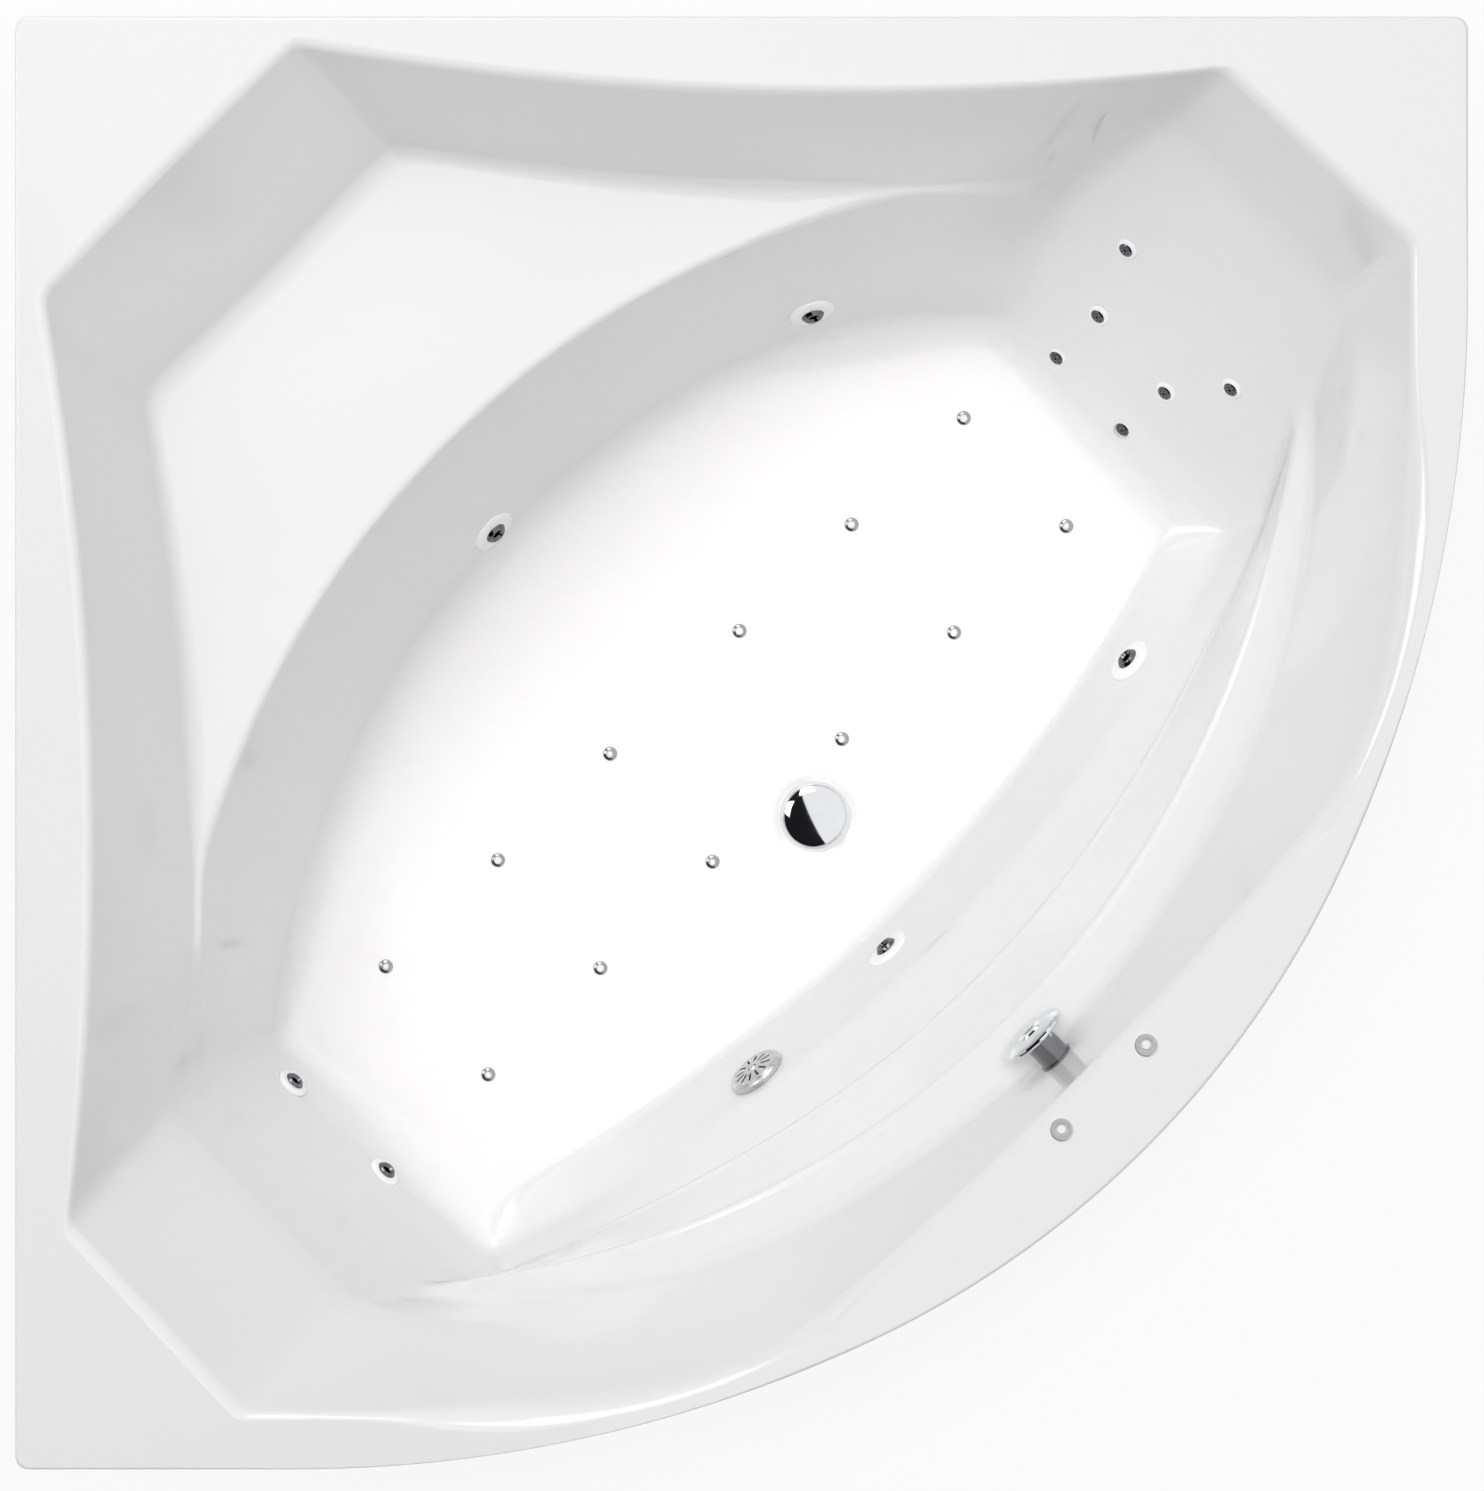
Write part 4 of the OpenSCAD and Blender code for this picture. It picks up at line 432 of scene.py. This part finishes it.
# ---------------------------------------------------------------- node helpers
class Graph:
    """A short way to write one material's nodes."""

    def __init__(self, name):
        self.mat, self.nt = new_material(name)
        self.out = self.add("ShaderNodeOutputMaterial")
        self.bsdf = self.add("ShaderNodeBsdfPrincipled")
        self.link(self.bsdf.outputs[0], self.out.inputs["Surface"])
        self.coord = self.add("ShaderNodeTexCoord").outputs["Object"]

    def add(self, kind, **values):
        n = self.nt.nodes.new(kind)
        for key, value in values.items():
            if hasattr(n, key):
                setattr(n, key, value)
            else:
                n.inputs[key.replace("_", " ")].default_value = value
        return n

    def link(self, a, b):
        self.nt.links.new(a, b)

    def set(self, **values):
        for key, value in values.items():
            name = key.replace("_", " ")
            sock = self.bsdf.inputs[name]
            if hasattr(value, "node"):
                self.link(value, sock)
            else:
                sock.default_value = value
        return self

    def stretch(self, scale, turn=(0, 0, 0)):
        m = self.add("ShaderNodeMapping")
        m.inputs["Scale"].default_value = scale
        m.inputs["Rotation"].default_value = turn
        self.link(self.coord, m.inputs["Vector"])
        return m.outputs[0]

    def noise(self, scale, detail=3.0, rough=0.5, vector=None, distortion=0.0):
        n = self.add("ShaderNodeTexNoise")
        n.inputs["Scale"].default_value = scale
        n.inputs["Detail"].default_value = detail
        n.inputs["Roughness"].default_value = rough
        n.inputs["Distortion"].default_value = distortion
        self.link(vector or self.coord, n.inputs["Vector"])
        return n.outputs["Fac"]

    def voronoi(self, scale, vector=None, feature="F1"):
        n = self.add("ShaderNodeTexVoronoi", feature=feature)
        n.inputs["Scale"].default_value = scale
        self.link(vector or self.coord, n.inputs["Vector"])
        return n

    def ramp(self, fac, stops):
        n = self.add("ShaderNodeValToRGB")
        el = n.color_ramp.elements
        while len(el) < len(stops):
            el.new(0.5)
        for e, (at, c) in zip(el, stops):
            e.position = at
            e.color = (c, c, c, 1) if isinstance(c, (int, float)) else (*c, 1)
        self.link(fac, n.inputs["Fac"])
        return n.outputs["Color"]

    def math(self, op, a, b):
        n = self.add("ShaderNodeMath", operation=op)
        for i, x in enumerate((a, b)):
            if hasattr(x, "node"):
                self.link(x, n.inputs[i])
            else:
                n.inputs[i].default_value = x
        return n.outputs[0]

    def blend(self, fac, a, b, kind="MIX"):
        n = self.add("ShaderNodeMix", data_type="RGBA", blend_type=kind)
        for i, x in zip((0, 6, 7), (fac, a, b)):
            if hasattr(x, "node"):
                self.link(x, n.inputs[i])
            elif i == 0:
                n.inputs[i].default_value = x
            else:
                n.inputs[i].default_value = (*x, 1)
        return n.outputs[2]

    def bump(self, height, distance, strength=1.0, after=None):
        n = self.add("ShaderNodeBump")
        n.inputs["Distance"].default_value = distance
        n.inputs["Strength"].default_value = strength
        self.link(height, n.inputs["Height"])
        if after is not None:
            self.link(after, n.inputs["Normal"])
        return n.outputs[0]


def around(g, colour, spread, scale, detail=2.0):
    """The colour, a little lighter and darker in soft patches."""
    low = tuple(c * (1 - spread) for c in colour)
    high = tuple(min(1, c * (1 + spread)) for c in colour)
    return g.ramp(g.noise(scale, detail), [(0.3, low), (0.7, high)])


def rough_of(g, level, spread, scale, detail=3.0):
    """The roughness, a little higher and lower in patches."""
    return g.ramp(g.noise(scale, detail, 0.6), [(0.3, max(level - spread, 0.01)), (0.72, level + spread)])


M = {}


def acrylic():
    g = Graph("acrylic")
    wave = g.noise(260, 1.0, 0.4)
    g.set(Base_Color=around(g, (0.80, 0.80, 0.80), 0.006, 2.3), Roughness=rough_of(g, 0.1, 0.02, 14),
          IOR=1.49, Coat_Weight=0.5, Coat_Roughness=0.03, Coat_IOR=1.49,
          Normal=g.bump(wave, 0.00002, 0.5))
    return g.mat


def laminate():
    """Glass fibre strands under resin, on the hidden side of the shell."""
    g = Graph("laminate")
    strands = None
    for k, turn in enumerate((0.3, 1.4, 2.5)):
        fine = g.noise(1.0, 2.0, 0.6, g.stretch((90 + 20 * k, 900, 400), (0.4 * k, 0.2, turn)), 0.3)
        strands = fine if strands is None else g.math("MAXIMUM", strands, fine)
    tone = g.ramp(strands, [(0.45, (0.62, 0.60, 0.50)), (0.72, (0.80, 0.79, 0.72))])
    g.set(Base_Color=g.blend(0.35, tone, around(g, (0.72, 0.70, 0.60), 0.10, 9)),
          Roughness=rough_of(g, 0.5, 0.12, 60), IOR=1.52,
          Normal=g.bump(g.noise(70, 5, 0.65), 0.0012, 0.5, g.bump(strands, 0.0005, 0.7)))
    return g.mat


def moulded(name, colour, rough=0.3, grain=0.00003, scale=900, coat=0.0, spread=0.03):
    g = Graph(name)
    g.set(Base_Color=around(g, colour, spread, 35), Roughness=rough_of(g, rough, rough * 0.22, 90),
          IOR=1.5, Coat_Weight=coat, Coat_Roughness=0.05,
          Normal=g.bump(g.noise(scale, 3, 0.6), grain, 0.6))
    return g.mat


def chrome(name, colour, rough, spread=0.4):
    g = Graph(name)
    smear = g.noise(1.0, 4, 0.6, g.stretch((60, 240, 90), (0.2, 0.1, 0.7)))
    g.set(Base_Color=around(g, colour, 0.02, 50), Metallic=1.0,
          Roughness=g.ramp(smear, [(0.35, rough * (1 - spread)), (0.75, rough * (1 + spread))]),
          Normal=g.bump(g.noise(420, 2), 0.00001, 0.25))
    return g.mat


def brushed(name, colour, rough):
    g = Graph(name)
    lines = g.noise(1.0, 4, 0.7, g.stretch((40, 40, 2600), (0, 0, 0)))
    g.set(Base_Color=around(g, colour, 0.05, 70), Metallic=1.0,
          Roughness=g.ramp(lines, [(0.3, rough * 0.75), (0.7, rough * 1.3)]),
          Normal=g.bump(lines, 0.00003, 0.5))
    return g.mat


def zinc():
    g = Graph("galvanised_steel")
    cell = g.voronoi(95)
    tone = g.ramp(cell.outputs["Color"], [(0.2, (0.46, 0.47, 0.49)), (0.8, (0.66, 0.67, 0.69))])
    g.set(Base_Color=g.blend(0.3, tone, around(g, (0.55, 0.56, 0.58), 0.15, 8)), Metallic=0.9,
          Roughness=g.ramp(g.noise(120, 4, 0.6), [(0.3, 0.3), (0.7, 0.52)]),
          Normal=g.bump(g.noise(160, 4, 0.6), 0.00015, 0.5))
    return g.mat


def threaded(name, colour, pitch):
    """A rod with a thread of the given pitch in metres."""
    g = Graph(name)
    w = g.add("ShaderNodeTexWave", wave_type="BANDS", bands_direction="Z", wave_profile="TRI")
    w.inputs["Scale"].default_value = 0.31416 / pitch / 2
    w.inputs["Distortion"].default_value = 0
    g.link(g.coord, w.inputs["Vector"])
    g.set(Base_Color=g.blend(g.noise(300, 3), colour, tuple(c * 0.72 for c in colour)), Metallic=1.0,
          Roughness=rough_of(g, 0.34, 0.1, 120), Normal=g.bump(w.outputs["Fac"], 0.0008, 0.9))
    return g.mat


def wood():
    g = Graph("plywood")
    rings = g.noise(1.0, 5, 0.62, g.stretch((6, 95, 60), (0, 0, 0.785)), 0.9)
    fibre = g.noise(1.0, 3, 0.6, g.stretch((30, 1500, 700), (0, 0, 0.785)))
    tone = g.ramp(rings, [(0.3, (0.50, 0.33, 0.17)), (0.52, (0.64, 0.46, 0.26)), (0.72, (0.72, 0.55, 0.34))])
    grain = g.ramp(fibre, [(0.35, (0.45, 0.30, 0.16)), (0.65, (0.74, 0.57, 0.36))])
    g.set(Base_Color=g.blend(0.35, tone, grain),
          Roughness=g.ramp(fibre, [(0.3, 0.55), (0.7, 0.78)]),
          Normal=g.bump(fibre, 0.0002, 0.5))
    return g.mat


def pvc(name, colour):
    g = Graph(name)
    flow = g.noise(1.0, 3, 0.5, g.stretch((9, 9, 70), (0.3, 0.2, 0)))
    streaks = g.ramp(flow, [(0.3, tuple(c * 0.965 for c in colour)), (0.7, colour)])
    g.set(Base_Color=g.blend(0.5, around(g, colour, 0.025, 6), streaks),
          Roughness=rough_of(g, 0.33, 0.07, 60), IOR=1.52, Normal=g.bump(g.noise(500, 3), 0.00004, 0.5))
    return g.mat


def painted(name, colour):
    g = Graph(name)
    pits = g.noise(330, 3, 0.55)
    g.set(Base_Color=around(g, colour, 0.08, 25), Roughness=rough_of(g, 0.36, 0.07, 80), IOR=1.5,
          Coat_Weight=0.25, Coat_Roughness=0.15, Normal=g.bump(pits, 0.00012, 0.5))
    return g.mat


M["acrylic"] = acrylic()
M["laminate"] = laminate()
M["white_fitting"] = moulded("white_fitting", (0.92, 0.92, 0.92), 0.16, 0.00001, 700, 0.4, 0.008)
M["chrome"] = chrome("chrome", (0.80, 0.81, 0.82), 0.06)
M["satin_chrome"] = chrome("satin_chrome", (0.68, 0.682, 0.685), 0.38)
# Painted reflection: this chrome is darkened from 0.80 to 0.17 to stand in for the dark studio that the nozzles reflect
M["chrome_painted_dark"] = chrome("chrome_painted_dark", (0.17, 0.172, 0.178), 0.12)
# Painted reflection: the neck's chrome is darkened to 0.27 to give the black sides that the dark studio makes on it
M["neck_chrome_painted_dark"] = chrome("neck_chrome_painted_dark", (0.27, 0.272, 0.277), 0.08)
M["grey_chrome"] = chrome("grey_chrome", (0.40, 0.405, 0.41), 0.2)
M["rubber"] = moulded("rubber", (0.03, 0.03, 0.031), 0.62, 0.00008, 700)
M["dark_plastic"] = moulded("dark_plastic", (0.055, 0.056, 0.06), 0.42, 0.00006, 1100)
M["pipe"] = pvc("pipe", (0.72, 0.73, 0.735))
M["wood"] = wood()
M["steel"] = zinc()
M["rod"] = threaded("threaded_rod", (0.60, 0.61, 0.63), 0.00175)
M["motor"] = painted("motor_paint", (0.10, 0.14, 0.20))
M["box"] = moulded("box_plastic", (0.52, 0.53, 0.55), 0.45, 0.00008, 800)
M["button_white"] = moulded("button_white", (0.85, 0.85, 0.85), 0.14, 0.00001, 600, 0.4, 0.008)
M["cable"] = moulded("cable_jacket", (0.07, 0.07, 0.075), 0.5, 0.00005, 900)
M["lead_rotor"] = brushed("turned_steel", (0.62, 0.62, 0.63), 0.28)


def dress(node, mat):
    o = nodes[node]
    o.data.materials.clear()
    o.data.materials.append(mat)


for row in frame["record"]["subparts"]:
    dress(row["node"], M[row["material_slot"]])
dress("foot_rods", M["rod"])
# Painted shade: the jets' nozzles and the micro jets' caps take the darkened chrome, in place of the dark room they
# reflect
for node in [f"jet_nozzle_{k}" for k in range(1, 7)] + ["micro_jet_caps"]:
    dress(node, M["chrome_painted_dark"])
dress("air_nozzle_caps", M["grey_chrome"])
dress("button_rings", M["satin_chrome"])
# Painted shade: the overflow's neck takes the darkened chrome, in place of the dark room it reflects
dress("overflow_neck", M["neck_chrome_painted_dark"])
for node in ("pump_rotor", "blower_rotor"):
    dress(node, M["lead_rotor"])


# ---------------------------------------------------------------- the tub's shell, dressed
def tub_mesh():
    """The shell's mesh, its points, the formula's normals, and 0 for acrylic faces and 1 for laminate faces."""
    t = SHELL_T
    back = SKIN + t * NORMAL
    low_n = NORMAL[:, 0].copy()
    low_n[:, 2] = 0
    low_n /= np.linalg.norm(low_n, axis=1)[:, None]
    back[:, 0] = SKIN[:, 0] + t * low_n
    for j in range(ARC):
        w = j / (ARC - 1)
        inner = SKIN[:, 0] + (t + 1.5 * w) * low_n
        inner[:, 2] = mix(-t - 1.5, -t, w)
        back[:, 1 + j] = inner
    back[:, -6:] = SKIN[:, -6:] - vec(0, 0, t)
    pts = np.concatenate([world(SKIN).reshape(-1, 3), world(back).reshape(-1, 3)])
    nor = np.concatenate([-turn_in(NORMAL).reshape(-1, 3), turn_in(NORMAL).reshape(-1, 3)])
    i, k = np.meshgrid(np.arange(N), np.arange(ROWS - 1), indexing="ij")
    a = (i * ROWS + k).ravel()
    b = (((i + 1) % N) * ROWS + k).ravel()
    m = N * ROWS
    front = np.stack([a, a + 1, b + 1, b], 1)
    rear = np.stack([a, b, b + 1, a + 1], 1) + m
    s = np.arange(N)
    s2 = (s + 1) % N
    e0, e1 = s * ROWS, s2 * ROWS
    lip = np.stack([e0, e1, e1 + m, e0 + m], 1)
    h0, h1 = e0 + ROWS - 1, e1 + ROWS - 1
    hole = np.stack([h0, h0 + m, h1 + m, h1], 1)
    faces = np.concatenate([front, rear, lip, hole])
    tag = np.concatenate([np.zeros(len(front)), np.ones(len(rear)), np.zeros(len(lip)), np.ones(len(hole))])
    mesh = bpy.data.meshes.new("tub_shell")
    mesh.from_pydata(pts.tolist(), [], faces.tolist())
    return mesh, pts, nor, tag.astype(int)


def round_cutter(rows):
    """One mesh of plain round cutters, each given by its middle, direction and radius, in metres."""
    bm = bmesh.new()
    for at, way, r in rows:
        turn = Vector(way).normalized().to_track_quat("Z", "Y").to_matrix().to_4x4()
        turn.translation = Vector(at)
        bmesh.ops.create_cone(bm, cap_ends=True, segments=48, radius1=r, radius2=r, depth=0.04, matrix=turn)
    me = bpy.data.meshes.new("cutter")
    bm.to_mesh(me)
    bm.free()
    return link("cutter", me)


def fitting_axes():
    """Middle, direction into the basin and bore radius of each fitting, in the room and in metres."""
    return [(world(vec(*at) - vec(0, 0, RIM_H)), turn_in(vec(*way)), r / 1000) for at, way, r in FITTINGS]


# Middle of each fitting on the wall (u, v, height), its direction and the radius of its bore, in millimetres
FITTINGS = [
    ((-340.5, -26.6, 205.3), (0.897, 0.024, 0.442), 17.3), ((-266, 370, 227.8), (0.806, -0.421, 0.416), 17.3),
    ((226.5, 348, 199.4), (-0.869, -0.081, 0.489), 17.3), ((261, -44, 219.4), (-0.943, 0.027, 0.330), 17.3),
    ((-80.5, -584, 191.9), (-0.007, 0.878, 0.479), 15.3), ((53.5, -582, 186.3), (0.006, 0.849, 0.529), 15.3),
    ((256.5, -232.5, 240.0), (-0.920, 0.082, 0.382), 22.3), ((462.9, 0, 485.3), (-0.966, 0.005, 0.258), 17.3),
]
MICRO_JETS = ((-80, 648, 318.6), (-52, 580, 239.2), (-52, 520, 169.1),
              (54, 573, 231.0), (100, 623, 289.4), (50, 516, 164.4))
for place in MICRO_JETS:
    FITTINGS.append((place, (0, -0.760, 0.650), 8.9))
# Two rows of six air nozzles in the floor, a little turned: pitch, middle pitch, gap of the rows, middle, turn
AIR_PITCH, AIR_MID, AIR_ROWS, AIR_U, AIR_V, AIR_TURN = 162.0, 187.0, 156.0, -9.0, -14.0, math.radians(1.5)
for side in (-1, 1):
    for i in range(6):
        along = (i - 2.5) * AIR_PITCH + (-1 if i < 3 else 1) * (AIR_MID - AIR_PITCH) / 2
        off = side * AIR_ROWS / 2
        place = (AIR_U + off * math.cos(AIR_TURN) + along * math.sin(AIR_TURN),
                 AIR_V - off * math.sin(AIR_TURN) + along * math.cos(AIR_TURN), RIM_H - BASIN_D)
        FITTINGS.append((place, (0, 0, 1), 5.3))
BUTTON_U, BUTTONS_V = 516, (75, -48.5)
for v in BUTTONS_V:
    FITTINGS.append(((BUTTON_U, v, RIM_H), (0, 0, 1), 9.3))

mesh, pts, nor, tag = tub_mesh()
tub = link("tub_shell", mesh)
mesh.polygons.foreach_set("material_index", tag)
mesh.materials.append(M["acrylic"])
mesh.materials.append(M["laminate"])
mesh.update()


def pierce(obj, cutter):
    """Cuts the bores, and gives back the mesh as it was."""
    mod = obj.modifiers.new("bores", "BOOLEAN")
    mod.operation = "DIFFERENCE"
    mod.solver = "MANIFOLD"
    mod.object = cutter
    dg = bpy.context.evaluated_depsgraph_get()
    done = bpy.data.meshes.new_from_object(obj.evaluated_get(dg))
    obj.modifiers.clear()
    old = obj.data
    obj.data = done
    bpy.data.objects.remove(cutter)
    return old


def carry_normals(mesh, old, pts, nor, limit=0.80):
    """Sets the formula's own normals on the pierced mesh, and leaves the walls of the bores flat."""
    tree = BVHTree.FromPolygons([tuple(p) for p in pts], [tuple(f.vertices) for f in old.polygons])
    polys = [tuple(f.vertices) for f in old.polygons]
    vn = []
    for v in mesh.vertices:
        near, _, idx, _ = tree.find_nearest(v.co)
        ids = polys[idx]
        d = [max((v.co - Vector(pts[i])).length, 1e-7) for i in ids]
        w = [1 / (x * x) for x in d]
        n = sum((Vector(nor[i]) * x for i, x in zip(ids, w)), Vector())
        vn.append(n.normalized())
    loops = []
    for f in mesh.polygons:
        for li in f.loop_indices:
            n = vn[mesh.loops[li].vertex_index]
            loops.append(n if n.dot(f.normal) > limit else f.normal)
    mesh.polygons.foreach_set("use_smooth", [True] * len(mesh.polygons))
    mesh.normals_split_custom_set([tuple(n) for n in loops])


unpierced = pierce(tub, round_cutter(fitting_axes()))
carry_normals(tub.data, unpierced, pts, nor)
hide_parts("shell")
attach(tub, "tub")


def lathe(name, profile, at, way, steps=144):
    """A turned piece about the line through `at`, from pairs of radius and height in millimetres."""
    bm = bmesh.new()
    rings = []
    for r, z in profile:
        turns = 1 if r == 0 else steps
        angles = [2 * math.pi * i / steps for i in range(turns)]
        rings.append([bm.verts.new((r * math.cos(a), r * math.sin(a), z)) for a in angles])
    for a, b in zip(rings, rings[1:]):
        for i in range(steps):
            k = (i + 1) % steps
            corners = [a[i % len(a)], a[k % len(a)], b[k % len(b)], b[i % len(b)]]
            bm.faces.new(list(dict.fromkeys(corners)))
    bmesh.ops.recalc_face_normals(bm, faces=bm.faces)
    place = Vector(way).normalized().to_track_quat("Z", "Y").to_matrix().to_4x4()
    place.translation = Vector(at)
    bm.transform(place @ Matrix.Scale(0.001, 4))
    turned = bpy.data.meshes.new(name)
    bm.to_mesh(turned)
    bm.free()
    turned.polygons.foreach_set("use_smooth", [True] * len(turned.polygons))
    turned.set_sharp_from_angle(angle=math.radians(38))
    return link(name, turned)


PLUG_R, PLUG_DOME, STEM_R, STEM_L = 34.0, 6.0, 4.0, 46.0
plug_side = [(0, -STEM_L), (STEM_R - 0.6, -STEM_L), (STEM_R, 0.6 - STEM_L), (STEM_R, 0), (PLUG_R - 1, 0),
             (PLUG_R - 0.3, 0.2), (PLUG_R, 0.8), (PLUG_R - 0.15, 1.5), (PLUG_R - 0.55, 2.2)]
for step in range(31):
    a = math.radians(75 - 2.5 * step)
    plug_side.append((PLUG_R * math.sin(a) * 0.995 if step < 30 else 0, 1.4 + PLUG_DOME * math.cos(a)))
plug = lathe("plug_dome", plug_side, world(vec(DRAIN_U, 0, 3.5 - BASIN_D - DISH_Z)), (0, 0, 1))
plug.data.materials.append(M["chrome"])
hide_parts("drain_plug")
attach(plug, "plug")


# ---------------------------------------------------------------- floor, world and lamps
def seen_directly(nt, share=1.0):
    """1 for rays from the camera, a reflection or a clear piece, times `share`, and 0 for the light that things get."""
    path = nt.nodes.new("ShaderNodeLightPath")
    seen = None
    for name in ("Is Camera Ray", "Is Glossy Ray", "Is Transmission Ray"):
        if seen is None:
            seen = path.outputs[name]
        else:
            either = nt.nodes.new("ShaderNodeMath")
            either.operation = "MAXIMUM"
            nt.links.new(seen, either.inputs[0])
            nt.links.new(path.outputs[name], either.inputs[1])
            seen = either.outputs[0]
    if share < 1:
        part = nt.nodes.new("ShaderNodeMath")
        part.operation = "MULTIPLY"
        nt.links.new(seen, part.inputs[0])
        part.inputs[1].default_value = share
        seen = part.outputs[0]
    return seen


world_data = bpy.data.worlds.new("room")
scene.world = world_data
world_data.use_nodes = True
nt = world_data.node_tree
nt.nodes.clear()
w_out = nt.nodes.new("ShaderNodeOutputWorld")
w_mix = nt.nodes.new("ShaderNodeMixShader")
dim = nt.nodes.new("ShaderNodeBackground")
dim.inputs["Color"].default_value = (1, 1, 1, 1)
dim.inputs["Strength"].default_value = 0.2
white = nt.nodes.new("ShaderNodeBackground")
white.inputs["Color"].default_value = (1, 1, 1, 1)
white.inputs["Strength"].default_value = 1.0
nt.links.new(seen_directly(nt), w_mix.inputs[0])
nt.links.new(dim.outputs[0], w_mix.inputs[1])
nt.links.new(white.outputs[0], w_mix.inputs[2])
nt.links.new(w_mix.outputs[0], w_out.inputs["Surface"])

floor_mesh = bpy.data.meshes.new("floor")
floor_mesh.from_pydata([(-60, -60, 0), (60, -60, 0), (60, 60, 0), (-60, 60, 0)], [], [(0, 1, 2, 3)])
floor = link("floor", floor_mesh)
mat, nt = new_material("pale_floor")
f_out = nt.nodes.new("ShaderNodeOutputMaterial")
f_mix = nt.nodes.new("ShaderNodeMixShader")
f_diff = nt.nodes.new("ShaderNodeBsdfDiffuse")
f_diff.inputs["Color"].default_value = (0.9, 0.9, 0.9, 1)
f_emit = nt.nodes.new("ShaderNodeEmission")
f_emit.inputs["Color"].default_value = (1, 1, 1, 1)
f_emit.inputs["Strength"].default_value = 1.0
nt.links.new(seen_directly(nt, 0.9), f_mix.inputs[0])
nt.links.new(f_diff.outputs[0], f_mix.inputs[1])
nt.links.new(f_emit.outputs[0], f_mix.inputs[2])
nt.links.new(f_mix.outputs[0], f_out.inputs["Surface"])
floor_mesh.materials.append(mat)


def area(name, at, aim, size, size_y, power):
    data = bpy.data.lights.new(name, "AREA")
    data.energy = power
    data.shape = "RECTANGLE"
    data.size, data.size_y = size, size_y
    o = bpy.data.objects.new(name, data)
    scene.collection.objects.link(o)
    o.location = at
    o.rotation_euler = (Vector(aim) - Vector(at)).to_track_quat("-Z", "Y").to_euler()
    return o


AIM_H = 0.4  # height that the softboxes face


def softbox(name, azimuth, elevation, distance, wide, tall, level):
    """A lamp out in a given direction, with its own brightness where white is 1."""
    az, el = math.radians(azimuth), math.radians(elevation)
    aim = Vector((0, 0, AIM_H))
    at = aim + Vector((math.cos(az) * math.cos(el), math.sin(az) * math.cos(el), math.sin(el))) * distance
    return area(name, at, aim, wide, tall, level * math.pi * wide * tall)


softbox("window_a", 163, 46, 6, 1.9, 4.0, 3.2)
softbox("window_b", 107, 46, 6, 1.9, 4.0, 3.2)
TOP_SIZE, TOP_W = 2.5, 412.5495  # a large soft lamp above, for the room's light
top = area("top", (0.25, 0.5, 9.0), (0, 0, 0.2), TOP_SIZE, TOP_SIZE, TOP_W)
top.visible_glossy = False
# A narrow beam that only falls on the basin's floor, which is pure white in the photograph
POOL_WIDE, POOL_LONG, POOL_W = 0.42, 1.0, 0.42
pool = area("pool", (0.0, 0.0, 8.0), (0.0, 0.0, 0.0), POOL_WIDE, POOL_LONG, POOL_W)
pool.rotation_euler = (0, 0, -math.pi / 4)
pool.data.spread = math.radians(5)
pool.visible_glossy = False


def dark_side(name, azimuth, lean, reach):
    """The unlit half of the studio, far beyond the lamps, that only reflections see."""
    pts, faces, steps = [], [], 24
    for i in range(steps + 1):
        turn = math.radians(-90 + 180 * i / steps)
        for j in range(steps + 1):
            tilt = math.radians(lean + (89 - lean) * j / steps)
            q = Vector((math.cos(turn) * math.sin(tilt), math.sin(turn), math.cos(turn) * math.cos(tilt)))
            q.rotate(Euler((0, 0, math.radians(azimuth))))
            pts.append(tuple(q * reach))
    for i in range(steps):
        for j in range(steps):
            k = i * (steps + 1) + j
            faces.append((k, k + 1, k + steps + 2, k + steps + 1))
    mesh = bpy.data.meshes.new(name)
    mesh.from_pydata(pts, [], faces)
    side = link(name, mesh)
    m, t = new_material(name)
    out, black = t.nodes.new("ShaderNodeOutputMaterial"), t.nodes.new("ShaderNodeEmission")
    black.inputs["Color"].default_value = (0.012, 0.012, 0.013, 1)
    t.links.new(black.outputs[0], out.inputs["Surface"])
    mesh.materials.append(m)
    side.visible_camera = side.visible_diffuse = side.visible_shadow = side.visible_transmission = False


dark_side("dark_side", 205, 2.6, 14)
